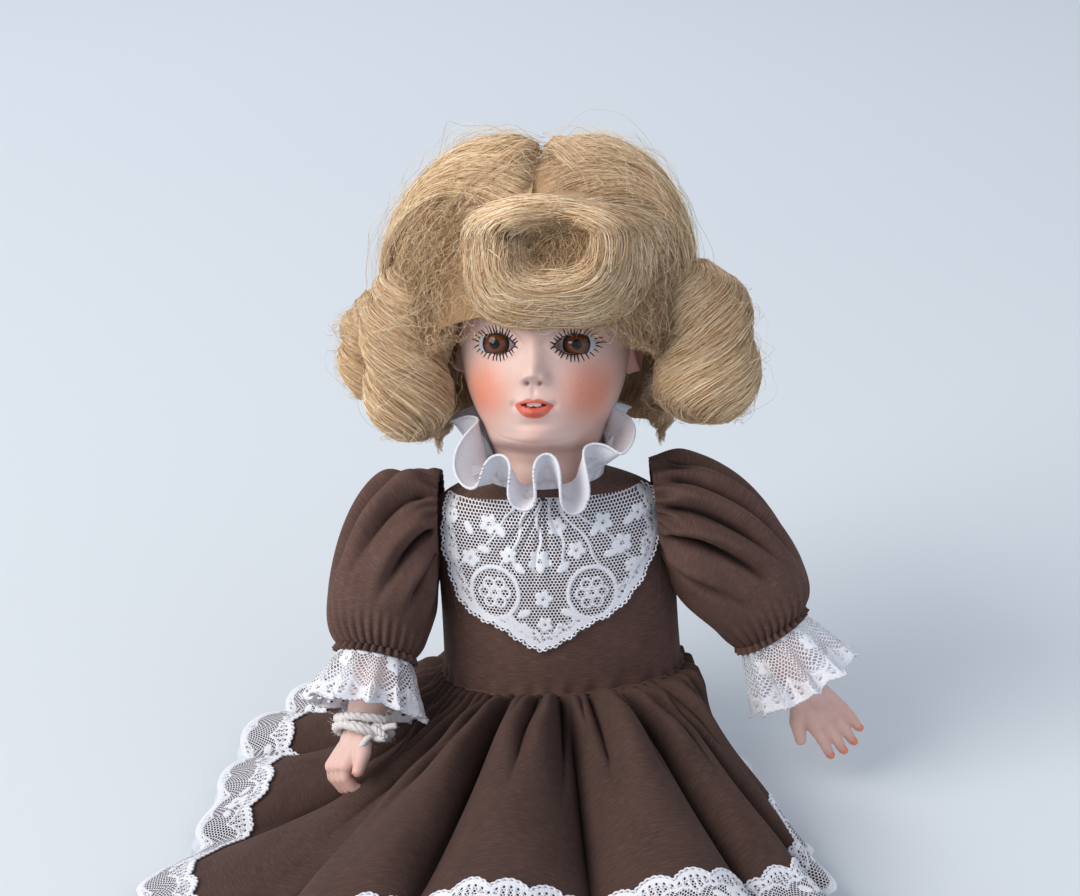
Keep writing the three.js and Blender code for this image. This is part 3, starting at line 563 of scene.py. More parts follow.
# (height, half width, front, back) from the neck's ball to the open crown
HEAD_LEVELS = [
    (-9, 13.2, 13.2, 13.2), (-5, 15.2, 15.2, 15.2), (0, 16, 16, 16), (5, 17, 17, 17), (8.5, 17.8, 20, 18.2),
    (11, 18.8, 27, 20.5), (16, 20.6, 31.4, 24.8), (22, 23.6, 33, 29), (31, 26.8, 33.6, 33),
    (40, 28.4, 33, 35.5), (48, 29, 33, 36.5), (56, 29.2, 34.2, 37), (64, 28.4, 33.6, 36),
    (71, 26.4, 31.4, 33.6),
]
EYE_OUT, EYE_Y, EYE_Z, EYE_RADIUS = 12.3, -21, 44, 7.8
EYE_HALF, LID_UP, LID_DOWN = 5.9, 3.5, 2.9
MOUTH = 24.9


def eye_edge(x, z):
    """Signed distance from the almond opening's edge, below 0 inside it, and the direction out of it."""
    u = (np.abs(x) - EYE_OUT) / EYE_HALF
    lid = np.where(z > EYE_Z, LID_UP, LID_DOWN)
    v = (z - EYE_Z) / lid
    g = np.abs(v) + np.abs(u) ** 2.1 - 1
    slope_x = 2.1 * np.abs(u) ** 1.1 * np.sign(u) * np.sign(x) / EYE_HALF
    slope_z = np.sign(v) / lid
    size = np.sqrt(slope_x**2 + slope_z**2)
    return g / size, slope_x / size, slope_z / size


def lip_edges(x):
    """Heights of the painted mouth's upper and lower outline."""
    a = np.clip(np.abs(x) / 6.5, 0, 1)
    top = MOUTH + 2.6 * (1 - a**1.6) - 0.75 * bump((x, 1.1))
    low = MOUTH - 4.3 * (1 - a**2.6)
    return top, low


def face_relief(x, z):
    """How far the features stand out of the plain head, in the -Y direction."""
    a = np.abs(x)
    out = -1.5 * bump((a - EYE_OUT, 7.5), (z - 45, 5.5))
    out += 0.9 * bump((a - EYE_OUT, 7), (z - 53, 3.5))
    out += 2.0 * bump((x, 3.4), (z - 42, 7)) + 4.6 * bump((x, 3.7), (z - 35, np.where(z > 35, 4.6, 2.5)))
    out += 2.0 * bump((a - 3.5, 1.6), (z - 33.6, 1.9))
    out -= 1.5 * bump((a - 2.1, 0.75), (z - 31.9, 0.7))
    out -= 0.5 * bump((x, 0.9), (z - 29.3, 1.7))
    out += 1.3 * bump((x, 6.5), (z - 25, 5))
    out += 1.35 * bump((x, 4.6), (z - MOUTH - 1.3, 1.1)) + 1.7 * bump((x, 3.9), (z - MOUTH + 2.4, 1.45))
    out -= 0.8 * bump((a - 6.6, 1.1), (z - MOUTH, 1.3))
    out -= 0.9 * bump((x, 5.5), (z - 18.3, 1.4))
    out += 1.9 * bump((x, 6.5), (z - 14, 3.4))
    out += 1.9 * bump((a - 15.5, 7.5), (z - 27, 8.5))
    out -= 0.35 * bump((z - 12.2 - 0.010 * x**2, 0.6)) * smooth(a, 16, 10)
    return out


def lid_relief(distance, z):
    """The rounded rims of the lids and the upper lid's crease, told by the distance from the opening."""
    crease = 0.3 * bump((distance - 3.0, 0.5)) * smooth(z, EYE_Z, EYE_Z + 1.5)
    return 0.55 * bump((distance - 1.3, 1.0)) - crease


def head_surface(x_angle, z):
    width, front, back = curve(HEAD_LEVELS, z)
    ahead = np.cos(x_angle)
    depth = np.where(ahead > 0, front, back)
    return np.sin(x_angle) * width, -ahead * depth


def face_y(x, z):
    """The face's own surface at x and z, ahead."""
    width, front, _ = curve(HEAD_LEVELS, z)
    ahead = np.sqrt(np.clip(1 - (x / width) ** 2, 0, 1))
    return -ahead * front - face_relief(x, z) * smooth(ahead, 0.25, 0.6)


def build_head():
    rows, columns = 262, 420
    turnings = np.linspace(-math.pi, math.pi, columns, endpoint=False)
    angle = turnings - 0.62 * np.sin(turnings)
    z = np.broadcast_to(np.linspace(-9, 71, rows)[:, None], (rows, columns)).copy()
    angle = np.broadcast_to(angle[None], (rows, columns))
    x, y = head_surface(angle, z)
    front = smooth(np.cos(angle), 0.25, 0.6)
    distance, out_x, out_z = eye_edge(x, z)
    near = (np.abs(distance) < 0.2) & (front > 0)
    x = np.where(near, x - distance * out_x, x)
    z = np.where(near, z - distance * out_z, z)
    distance = np.where(near, 0, distance)
    relief = face_relief(x, z)
    relief = relief + np.where(distance > 0, lid_relief(distance, z), 0.2)
    opening = (np.abs(x) / 4.3) ** 2 + ((z - MOUTH) / np.maximum(0.15, 0.85 - 0.03 * x**2)) ** 2
    relief = relief - 3.0 * smooth(opening, 1.15, 0.8)
    width, ahead, _ = curve(HEAD_LEVELS, z)
    y = np.where(front > 0, -np.sqrt(np.clip(1 - (x / width) ** 2, 0, 1)) * ahead, y)
    y = y - relief * front + np.where((distance < -0.05) & (front > 0), 7.0 * smooth(distance, 0, -0.3), 0)

    a = np.abs(x)
    blush = 0.68 * smooth(np.hypot(a - 17.5, (z - 29.5) / 0.98), 14.5, 2.0)
    blush += 0.22 * bump((a - 19, 8), (z - 20, 8))
    blush += 0.12 * bump((a - EYE_OUT, 8), (z - 51, 3.5)) + 0.15 * bump((x, 5), (z - 14, 4))
    top, low = lip_edges(x)
    lip = smooth(z, low - 0.15, low + 0.3) * smooth(z, top + 0.15, top - 0.3) * (a < 6.6)
    shadow = 0.75 * bump((a - 2.1, 0.8), (z - 32.2, 0.65)) + 0.85 * smooth(opening, 1.35, 0.9)
    shadow += 0.5 * smooth(distance, 0.28, -0.1)
    values = {
        "blush": np.clip(blush, 0, 1) * front,
        "lip": lip * front,
        "shadow": np.clip(shadow, 0, 1) * front,
    }
    faces = grid(rows, columns, True)
    inside = ((distance < -0.45) & (front > 0)).ravel()
    faces = faces[~inside[faces].all(axis=1)]
    head = make("bisque_head", points_at(x, y, z), faces, HEAD, BISQUE, "head", values=values, slot="bisque")
    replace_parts(head, "head")


def build_ear(side):
    """A shell-like ear: a rolled rim, a hollow, a lobe."""
    rows, columns = 20, 48
    r, angle = tube_places(rows, columns)
    ahead = 4.6 * r * np.cos(angle) * (1 + 0.18 * np.sin(angle))
    up = r * np.sin(angle) * np.where(np.sin(angle) > 0, 9.0, 9.5)
    out = 0.9 + 2.7 * smooth(r, 0.35, 0.72) - 3.9 * smooth(r, 0.84, 1.0)
    out = out + 0.9 * bump((ahead + 0.5, 0.9), (up - 1, 4)) - 1.1 * bump((ahead, 2.0), (up + 1.5, 3))
    out = out - 0.7 * bump((ahead + 4, 2.0), (up + 1, 5)) + ahead * 0.30
    points = points_at(side * (28.2 + out), 3 + ahead, 42 + up)
    blush = 0.35 * np.ones_like(out)
    values = {"blush": blush, "lip": 0 * blush, "shadow": 0.25 * bump((ahead, 2.0), (up + 1.0, 3.0))}
    make(f"ear_{SIDE_NAME[side]}", points, grid(rows, columns, True), HEAD, BISQUE, "head",
         values=values, slot="bisque")


def build_eye(side):
    """A round glass eye: its iris bulges a little, and the pattern is measured from the iris's middle."""
    rows, columns = 80, 96
    polar = np.linspace(0, 0.62 * math.pi, rows)[:, None]
    around = np.linspace(0, 2 * math.pi, columns, endpoint=False)[None]
    reach = EYE_RADIUS * np.sin(polar)
    iris = np.where(polar < math.pi / 2, reach, EYE_RADIUS)
    bulge = 0.55 * smooth(iris, 4.6, 0)
    ahead = EYE_RADIUS * np.cos(polar) + bulge
    gaze = 0.13 * side
    x = side * EYE_OUT + reach * np.cos(around) * math.cos(gaze) + ahead * math.sin(gaze)
    z = EYE_Z + 0.2 + reach * np.sin(around)
    y = EYE_Y - ahead * math.cos(gaze) + reach * np.cos(around) * math.sin(gaze)
    values = {"out": iris + 0 * around, "around": around / (2 * math.pi) * 40 + 0 * polar}
    eye = make(f"glass_eye_{SIDE_NAME[side]}", points_at(x, y, z), grid(rows, columns, True), HEAD, EYE,
               "head", values=values, slot="eye_glass")
    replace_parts(eye, f"eye_{SIDE_NAME[side]}")


def painted(name, strokes, widths, material):
    """Brush strokes on the face: flat tapering lines just proud of the bisque. Each is (k, 2) of x and z."""
    strokes = np.asarray(strokes)
    x, z = strokes[..., 0], strokes[..., 1]
    y = face_y(x, z) - lid_relief(eye_edge(x, z)[0], z) - 0.12
    centre = points_at(x, y, z)
    points, faces = tubes(centre, widths, 4)
    return make(name, points, faces, HEAD, material, "head", slot="bisque")


def build_lashes():
    """Separate brush strokes radiate from both lids, longest at the outer corners."""
    rng = np.random.default_rng(4)
    strokes, widths = [], []
    steps = 9
    t = np.linspace(0, 1, steps)
    for side in (-1, 1):
        for lid, count in ((1, 15), (-1, 13)):
            for k in range(count):
                u = -0.96 + 1.98 * (k + rng.uniform(-0.15, 0.15)) / (count - 1)
                height = (LID_UP if lid > 0 else LID_DOWN) * max(0, 1 - abs(u) ** 2.1)
                length = (2.7 if lid > 0 else 2.2) * (1 + 0.42 * u) * rng.uniform(0.85, 1.12)
                lean = math.radians(66 * u + 4) + rng.normal(0, 0.06)
                bend = math.radians(26) * (0.4 + u) * lid
                heading = lean + bend * (t - 0.3)
                step = length / (steps - 1)
                dx = np.concatenate([[0], np.cumsum(np.sin(heading[:-1]) * step)])
                dz = np.concatenate([[0], np.cumsum(np.cos(heading[:-1]) * step)])
                x = EYE_OUT + EYE_HALF * u * 1.03 + dx
                z = EYE_Z + lid * (height + 0.2 + dz)
                strokes.append(np.stack([side * x, z], -1))
                widths.append(0.31 * (1 - 0.75 * t) ** 0.7)
    painted("lashes", strokes, np.array(widths), PAINT_BLACK)
    line = np.linspace(-1, 1, 60)
    rims, rim_widths = [], []
    for side in (-1, 1):
        for lid in (LID_UP, -LID_DOWN):
            x = side * (EYE_OUT + EYE_HALF * line * 1.01)
            z = EYE_Z + lid * (1 - np.abs(line) ** 2.1) + 0.12 * np.sign(lid)
            rims.append(np.stack([x, z], -1))
            rim_widths.append(np.full(60, 0.26 if lid > 0 else 0.2))
    painted("lid_lines", rims, np.array(rim_widths), PAINT_BLACK)


def build_brows():
    rng = np.random.default_rng(9)
    strokes, widths = [], []
    t = np.linspace(0, 1, 6)
    for side in (-1, 1):
        for _ in range(46):
            u = rng.uniform(0, 1)
            x = 5.5 + 15 * u
            z = 51.5 + 2.6 * math.sin(math.pi * (0.15 + 0.75 * u)) + rng.normal(0, 0.35)
            heading = math.radians(rng.normal(28 - 50 * u, 8))
            length = rng.uniform(1.6, 2.8)
            strokes.append(np.stack([side * (x + length * t * math.cos(heading)),
                                     z + length * t * math.sin(heading)], -1))
            widths.append(0.10 * np.sin(math.pi * (0.1 + 0.85 * t)))
    painted("brows", strokes, np.array(widths), PAINT_BROWN)


def build_teeth():
    """Two small front teeth with rounded corners behind the parted lips."""
    rows, columns = 10, 40
    across = np.linspace(-2.3, 2.3, columns)[None]
    up = np.linspace(MOUTH - 0.5, MOUTH + 1.4, rows)[:, None]
    y = -33.4 + 0.05 * across**2 + 0.3 * bump((across, 0.12)) + 0.3 * bump((np.abs(across) - 1.9, 0.12))
    bottom = 0.35 * bump((across, 0.3)) + 0.3 * bump((np.abs(across) - 1.9, 0.3))
    z = up + bottom * smooth(up, MOUTH + 0.4, MOUTH - 0.5) + 0 * across
    teeth = make("front_teeth", points_at(across + 0 * up, y + 0 * up, z), grid(rows, columns), HEAD,
                 CAD_FINISH["enamel"], "head", slot="enamel")
    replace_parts(thick(teeth, 0.6), "teeth")


# ---- wig -------------------------------------------------------------------------------------------

CROWN_WIDTH, CROWN_FRONT, CROWN_BACK = 48, 36, 46
CROWN_BASE, CROWN_TOP = 60, 112
HAIR_WIDTH = 0.11  # half the width of a loose strand


def hair(name, paths, half_width=HAIR_WIDTH, seed=1, weights=(4, 3, 3, 2, 1)):
    """Loose strands along the paths, thinning to both ends, in a mix of the mohair's colours."""
    rng = np.random.default_rng(seed)
    count, steps, _ = paths.shape
    t = np.linspace(0, 1, steps)
    taper = 0.25 + 0.75 * np.minimum(1, 6 * np.minimum(t, 1 - t)) ** 0.5
    widths = half_width * taper[None] * rng.uniform(0.7, 1.3, (count, 1))
    points, faces = tubes(paths, widths, 3)
    obj = make(name, points, faces, HEAD, STRANDS, "head", slot="mohair")
    share = np.asarray(weights, float) / sum(weights)
    shade = rng.choice(len(STRANDS), count, p=share)
    index = np.concatenate([np.repeat(shade, (steps - 1) * 3), shade, shade]).astype(np.int32)
    obj.data.polygons.foreach_set("material_index", index)
    return obj


def wavy(paths, amount, seed, waves=2.0):
    """The same strands, each with its own slow wander."""
    rng = np.random.default_rng(seed)
    count, steps, _ = paths.shape
    t = np.linspace(0, 1, steps)[None, :, None]
    total = np.zeros((count, steps, 3))
    for k in range(3):
        phase = rng.uniform(0, 2 * math.pi, (count, 1, 3))
        rate = rng.uniform(0.4, 1.0, (count, 1, 3)) * waves * (k + 1)
        total += np.sin(2 * math.pi * rate * t + phase) / (k + 1)
    return paths + total * amount * np.minimum(1, 4 * t)


def crown_point(side, q, phi, lift=0.0):
    """The combed dome: q from -1 ahead to 1 behind, phi in degrees from the parting down one side."""
    q, phi = np.broadcast_arrays(np.asarray(q, float), np.asarray(phi, float))
    turned = np.radians(np.clip(phi, 0, 90))
    past = np.clip(phi - 90, 0, None)
    section = np.clip(1 - np.abs(q) ** 2.4, 0, 1) ** (1 / 2.2)
    rise = CROWN_TOP - CROWN_BASE
    crest = 2.2 * np.sin(2 * turned) - 4.5 * np.exp(-((phi / 7.0) ** 2))
    x = side * (CROWN_WIDTH + lift) * section**0.8 * np.sin(turned) ** 0.82
    z = CROWN_BASE + (rise + lift) * section * np.cos(turned) ** 0.85 + crest * section - 0.75 * past
    x = x - side * 0.006 * past**2 * (q < 0.4)
    x = x + side * np.where(side < 0, 6.5, 1.5) * smooth(phi, 35, 85) * section
    y = np.where(q > 0, CROWN_BACK + lift, CROWN_FRONT + lift) * q
    return points_at(x, y, z)


def crown_flow(start, phi):
    """How q changes along a strand: the hair is drawn together over the ears, where the ringlets hang."""
    share = smooth(phi, 0, 100)
    gathered = 0.12 + 0.42 * (start - 0.12)
    behind = start * 0.96
    pull = np.where(start < 0.35, 1.0, smooth(start, 0.85, 0.35))
    end = gathered * pull + behind * (1 - pull)
    return start + (end - start) * share


def crown_locks(side, start, phi):
    return 0.7 * ripple(start * 1.4 + 0.1 * side + phi * 0.0015, 5 + side, 4) * smooth(phi, 0, 25)


def build_crown():
    rng = np.random.default_rng(21)
    for side in (-1, 1):
        rows, columns = 70, 90
        phi = np.linspace(0, 104, rows)[:, None] + np.zeros((1, columns))
        start = np.linspace(-0.985, 0.985, columns)[None] + np.zeros((rows, 1))
        points = crown_point(side, crown_flow(start, phi), phi, -1.2 + crown_locks(side, start, phi))
        uv = np.stack([start * 60 + 0 * phi, phi * 0.9], -1)
        mass = make(f"crown_mass_{SIDE_NAME[side]}", points, grid(rows, columns), HEAD, HAIR, "head",
                    uv=uv, slot="mohair")
        if side > 0:
            mass.data.flip_normals()
        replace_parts(mass, f"hair_{SIDE_NAME[side]}")
        for layer in range(2):
            count, steps = 2300, 14
            begin = np.sort(rng.uniform(-0.97, 0.97, (count, 1)), axis=0)
            first = np.abs(rng.normal(0, 3 + 22 * layer, (count, 1))) % 60
            last = rng.uniform(70, 103, (count, 1))
            t = np.linspace(0, 1, steps)[None]
            phi = first + (last - first) * t
            lift = crown_locks(side, begin, phi) - 0.6
            lift = lift + rng.uniform(0, 1.5, (count, 1)) * np.sin(math.pi * t) ** 0.5
            paths = crown_point(side, crown_flow(begin, phi), phi, lift)
            paths = wavy(paths, 0.5, 31 + layer, 1.5)
            hair(f"crown_hair_{SIDE_NAME[side]}_{layer + 1}", paths, seed=40 + layer + side)


def back_point(angle, t, lift=0.0):
    """The hair that falls behind, from the dome's rim to curled-under ends at the nape."""
    angle, t = np.broadcast_arrays(np.asarray(angle, float), np.asarray(t, float))
    z = 66 - 50 * t
    wide = 44 + 2.5 * np.sin(math.pi * t) - 5 * smooth(t, 0.75, 1) + lift
    deep = 43 + 4.5 * np.sin(math.pi * np.clip(t * 1.1, 0, 1)) - 8 * smooth(t, 0.75, 1) + lift
    return points_at(wide * np.sin(angle), -deep * np.cos(angle), z)


def build_back_hair():
    rng = np.random.default_rng(8)
    rows, columns = 40, 120
    angle = np.linspace(math.radians(100), math.radians(260), columns)[None]
    t = np.linspace(0, 1, rows)[:, None]
    curls = 1.6 * np.abs(np.sin(angle * 11)) * (0.4 + 0.6 * t)
    points = back_point(angle, t, curls - 1.4)
    uv = np.stack([angle * 44 + 0 * t, t * 50 + 0 * angle], -1)
    make("back_mass", points, grid(rows, columns), HEAD, HAIR, "head", uv=uv, slot="mohair")
    count, steps = 2400, 12
    begin = rng.uniform(math.radians(99), math.radians(261), (count, 1))
    first = rng.uniform(-0.35, 0.3, (count, 1))
    t = first + (rng.uniform(0.75, 1.04, (count, 1)) - first) * np.linspace(0, 1, steps)[None]
    curls = 1.6 * np.abs(np.sin(begin * 11)) * (0.4 + 0.6 * t)
    lift = curls - 0.9 + rng.uniform(0, 1.3, (count, 1))
    hair("back_hair", wavy(back_point(begin + 0 * t, t, lift), 0.6, 6, 2), seed=50)


def sweep_point(side, across, down, lift=0.0):
    """The hair from the parting over the temple: across 0 to 1 outwards, down 0 to 1 from crown to ear."""
    across, down = np.broadcast_arrays(np.asarray(across, float), np.asarray(down, float))
    azimuth = np.radians(2 + 88 * across)
    low = -13 - (35 if side < 0 else 22) * np.clip(across, 0, 1) ** 2
    climb = np.radians(66 + (low - 66) * down)
    wide = (50.5 if side < 0 else 46.5) + lift
    x = side * wide * np.sin(azimuth) * np.cos(climb) ** 0.75
    y = 2 - (41 + lift) * np.cos(azimuth) * np.cos(climb) ** 0.8
    z = 64 + (45 + lift) * np.sin(climb) - 3.0 * np.exp(-(((across - 0.02) / 0.05) ** 2)) * (1 - down)
    return points_at(x, y, z)


def sweep_locks(side, across, down):
    return 0.9 * ripple((across - 0.7 * down) * 1.5, 44 + side, 4)


def build_sweeps():
    """Locks combed from the crown round the fringe into the ringlets, tangled where they meet."""
    rng = np.random.default_rng(35)
    steps = 14
    t = np.linspace(0, 1, steps)[None]
    for side in (-1, 1):
        name = SIDE_NAME[side]
        rows, columns = 40, 40
        across = np.linspace(0, 1, columns)[None]
        down = np.linspace(0, 1, rows)[:, None]
        points = sweep_point(side, across, down, sweep_locks(side, across, down) - 1.2)
        uv = np.stack([(across - 0.7 * down) * 60, (across + down) * 30], -1)
        mass = make(f"sweep_mass_{name}", points, grid(rows, columns), HEAD, HAIR, "head", uv=uv,
                    slot="mohair")
        if side > 0:
            mass.data.flip_normals()
        count = 2200
        first = rng.uniform(-0.1, 0.95, (count, 1))
        across = first + (1.04 - first) * rng.uniform(0.55, 1.0, (count, 1)) * t**0.8
        fall = rng.uniform(0.6, 1.02, (count, 1))
        down = -0.12 + (0.12 + fall) * t ** rng.uniform(0.9, 1.5, (count, 1)) + 0 * first
        inside = np.clip(across, 0, 1.02)
        lift = sweep_locks(side, inside, down) + rng.uniform(-0.6, 1.8, (count, 1))
        lift = lift + 2.5 * smooth(down, 0.25, -0.1)
        paths = sweep_point(side, inside, np.clip(down, -0.12, 1.02), lift)
        hair(f"sweep_hair_{name}", wavy(paths, 0.5, 38 + side, 1.2), seed=58 + side)
        count = 900
        across = rng.normal(0.52, 0.13, (count, 1)) + rng.normal(0, 0.10, (count, 1)) * t
        down = rng.normal(0.66, 0.17, (count, 1)) + rng.normal(0.06, 0.22, (count, 1)) * t
        bow = rng.normal(0, 0.10, (count, 1)) * np.sin(math.pi * t)
        lift = rng.uniform(0.5, 4, (count, 1))
        paths = sweep_point(side, across + bow, np.clip(down + bow, 0.05, 1.07), lift)
        hair(f"tangle_hair_{name}", wavy(paths, 1.3, 39 + side, 2.2), half_width=0.07, seed=59 + side,
             weights=(2, 3, 1, 5, 1))


# The rolled fringe: soft hair wound round a hollow above the brow
SWIRL_X, SWIRL_Z = 8.5, 78.5


def fringe_point(around, out, lift=0.0):
    """around in degrees, 0 to the doll's left and 90 up; out from the hollow's middle, 0, to the edge, 1."""
    around, out = np.broadcast_arrays(np.asarray(around, float), np.asarray(out, float))
    a = np.radians(around)
    across, up = np.cos(a), np.sin(a)
    wide = 31.5 - 4.0 * smooth(across, -0.4, 0.4)
    high = 25.8 - 12.3 * smooth(up, -0.35, 0.45)
    square = 2.1 + 0.9 * smooth(up, 0.1, -0.3)
    edge = ((np.abs(across) / wide) ** square + (np.abs(up) / high) ** square) ** (-1 / square)
    edge = edge * (1 + 0.05 * ripple(around / 360, 12, 3))
    reach = edge * out
    x = SWIRL_X + across * reach
    z = SWIRL_Z + up * reach - 1.2 * out * np.abs(across)
    ridge = 13.0 * np.exp(-(((out - 0.60) / np.where(out < 0.60, 0.25, 0.34)) ** 2))
    ridge = ridge * (1 - 0.62 * smooth(up, 0.25, 0.95))
    round_head = -0.0100 * (x - 3) ** 2
    tuck = 5.0 * smooth(out, 0.93, 1.12) + 9.0 * np.clip(out - 1.12, 0, 1)
    y = -38.5 - ridge - round_head - lift + tuck - 1.0 * smooth(up, 0.2, -0.6) * out
    return points_at(x, y, z)


def across_fringe(start, end, bend, steps):
    """Strands between two places of the swirl's disc, bowed sideways: gives around and out."""
    t = np.linspace(0, 1, steps)[None, :, None]
    line = start[:, None] + (end - start)[:, None] * t
    normal = np.stack([-(end - start)[:, 1], (end - start)[:, 0]], -1)
    line = line + normal[:, None] * bend[:, None, None] * np.sin(math.pi * t)
    return np.degrees(np.arctan2(line[..., 1], line[..., 0])), np.hypot(line[..., 0], line[..., 1])


def build_fringe():
    rng = np.random.default_rng(77)
    rows, columns = 64, 180
    out = np.linspace(0.02, 1.12, rows)[:, None]
    around = np.linspace(0, 360, columns, endpoint=False)[None]
    ribs = 0.6 * ripple(out * 1.2 + around / 500, 3, 4)
    points = fringe_point(around, out, -1.0 + ribs)
    uv = np.stack([out * 60 + around * 0.03, around * 0.45 + 0 * out], -1)
    mass = make("fringe_mass", points, grid(rows, columns, True), HEAD, HAIR, "head", uv=uv, slot="mohair")
    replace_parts(mass, "bangs")
    steps = 18
    t = np.linspace(0, 1, steps)[None]
    # count, where they start, how far they turn, how far in they start, how far out they spiral
    layers = [
        (2600, (60, 150), (90, 215), (0.32, 0.92), (0.0, 0.42)),
        (2000, (30, 120), (-215, -110), (0.38, 0.86), (-0.05, 0.30)),
        (900, (190, 330), (-75, 75), (0.45, 0.95), (-0.10, 0.30)),
        (700, (100, 180), (50, 110), (0.75, 1.0), (0.10, 0.42)),
        (600, (10, 70), (-80, -30), (0.72, 0.98), (0.15, 0.50)),
    ]
    for layer, (count, start, sweep, near, spiral) in enumerate(layers):
        start = rng.uniform(*start, (count, 1))
        turned = rng.uniform(min(sweep), max(sweep), (count, 1))
        near = rng.uniform(*near, (count, 1))
        out = near + rng.uniform(*spiral, (count, 1)) * t**1.4
        below = smooth(np.sin(np.radians(start + turned * t)), 0.1, -0.5)
        out = np.clip(out, 0.05, 1.42 - 0.36 * below)
        lift = rng.uniform(-0.7, 1.2, (count, 1)) + 0.6 * ripple(near * 1.2 + start / 500, 3, 4)
        lift = lift + rng.gamma(1.2, 0.6, (count, 1)) * np.sin(math.pi * t)
        paths = fringe_point(start + turned * t, out, lift)
        hair(f"fringe_hair_{layer + 1}", wavy(paths, 0.55, 90 + layer, 1.1), half_width=0.12, seed=60 + layer,
             weights=(4, 3, 4, 2, 3))
    count = 620
    start = np.column_stack([rng.normal(0, 0.26, count), rng.uniform(0.25, 0.62, count)])
    end = np.column_stack([rng.normal(-0.05, 0.30, count), rng.uniform(-0.55, -0.15, count)])
    around, out = across_fringe(start, end, rng.normal(0, 0.18, count), 12)
    paths = fringe_point(around, np.clip(out, 0.03, 1), rng.uniform(0.3, 2.5, (count, 1)))
    hair("fringe_hollow_hair", wavy(paths, 1.0, 12, 1.8), half_width=0.08, seed=65, weights=(2, 4, 1, 5, 1))
    count = 260
    start = rng.uniform(185, 345, (count, 1))
    t = np.linspace(0, 1, 10)[None]
    out = rng.uniform(0.72, 0.95, (count, 1)) + rng.uniform(0.10, 0.26, (count, 1)) * t
    paths = fringe_point(start + rng.normal(0, 24, (count, 1)) * t, out, 1.2)
    hair("fringe_ends", wavy(paths, 0.9, 13, 1.4), half_width=0.07, seed=66, weights=(3, 1, 4, 1, 3))


def ringlet_point(shape, along, around, lift=0.0):
    """A sausage curl: hair wound in rope-like rolls round a bent axis, closing to a soft end."""
    axis, radii, hand, starts, rise = shape
    along, around = np.broadcast_arrays(np.asarray(along, float), np.asarray(around, float))
    centre = np.stack(curve([(k / (len(axis) - 1), *p) for k, p in enumerate(axis)], along), -1)
    radius = curve([(k / (len(radii) - 1), r) for k, r in enumerate(radii)], along)[0]
    length = np.linalg.norm(np.subtract(axis[-1], axis[0]))
    phase = (around - hand * 2 * math.pi * along * length / rise) * starts
    roll = np.abs(np.sin(phase / 2)) ** 0.6
    closing = np.sqrt(np.clip(1 - (np.clip(along - 0.80, 0, 0.2) / 0.202) ** 2, 0.01, 1))
    r = (radius * (0.70 + 0.30 * roll) + lift) * closing
    return centre + points_at(r * np.sin(around), -r * np.cos(around), 0)


# For each ringlet: points of its axis, radii along it, the way it winds, its rolls, and one turn's rise
RINGLETS = {
    "ringlet_right": (
        [(-40, -8, 71), (-43.5, -11, 59), (-45, -13, 45), (-45, -11, 28), (-44, -9, 10)],
        [9, 14.5, 16, 15.2, 15.4, 14.4, 13], 1, 2, 50,
    ),
    "ringlet_right_outer": (
        [(-57, 6, 60), (-61.5, 7, 50), (-63, 7, 38), (-62, 6, 23)],
        [5, 8.6, 9, 8.6, 7.4], 1, 2, 26,
    ),
    "ringlet_left": (
        [(46, -4, 71), (51, -6, 60), (54.5, -7, 46), (55.5, -7, 33), (55.5, -6, 17)],
        [8, 15, 16.2, 14.6, 17.6, 18.5, 18], -1, 1, 66,
    ),
}


def build_ringlet(name, shape, count, seed):
    rng = np.random.default_rng(seed)
    hand, _, rise = shape[2:]
    length = np.linalg.norm(np.subtract(shape[0][-1], shape[0][0]))
    rows, columns = 90, 110
    along, around = tube_places(rows, columns)
    points = ringlet_point(shape, along, around, -0.7)
    turned = (around - hand * 2 * math.pi * along * length / rise) * 14
    uv = np.stack([turned, along * length + 0 * around], -1)
    mass = make(f"{name}_mass", points[::-1], grid(rows, columns, True), HEAD, HAIR, "head", uv=uv[::-1],
                slot="mohair")
    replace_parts(mass, name)
    steps = 15
    start = rng.uniform(-0.25, 0.85, (count, 1))
    reach = rng.uniform(0.25, 0.75, (count, 1)) * 40 / length
    s = start + reach * np.linspace(0, 1, steps)[None]
    phase = rng.uniform(0, 2 * math.pi, (count, 1))
    around = phase + hand * 2 * math.pi * s * length / rise
    lift = rng.uniform(-0.5, 0.7, (count, 1))
    paths = ringlet_point(shape, np.clip(s, 0, 0.985), around, lift)
    hair(f"{name}_hair", wavy(paths, 0.4, seed + 1, 1.2), seed=seed)


def build_tail(name, centre, radii, seed):
    """A short, loose, frizzy curl."""
    rng = np.random.default_rng(seed)
    count, steps = 520, 14
    t = np.linspace(0, 1, steps)[None]
    begin = rng.uniform(0, 2 * math.pi, (count, 1))
    height = rng.uniform(-0.6, 1.0, (count, 1)) - rng.uniform(0.2, 1.1, (count, 1)) * t
    around = begin + rng.uniform(1.5, 4.5, (count, 1)) * t
    r = np.sqrt(np.clip(1 - height**2, 0.02, 1)) * rng.uniform(0.55, 1.05, (count, 1))
    paths = np.array(centre) + points_at(*radii) * points_at(r * np.sin(around), r * np.cos(around), height)
    return hair(name, wavy(paths, 0.7, seed, 2), seed=seed, weights=(3, 3, 3, 1, 2))


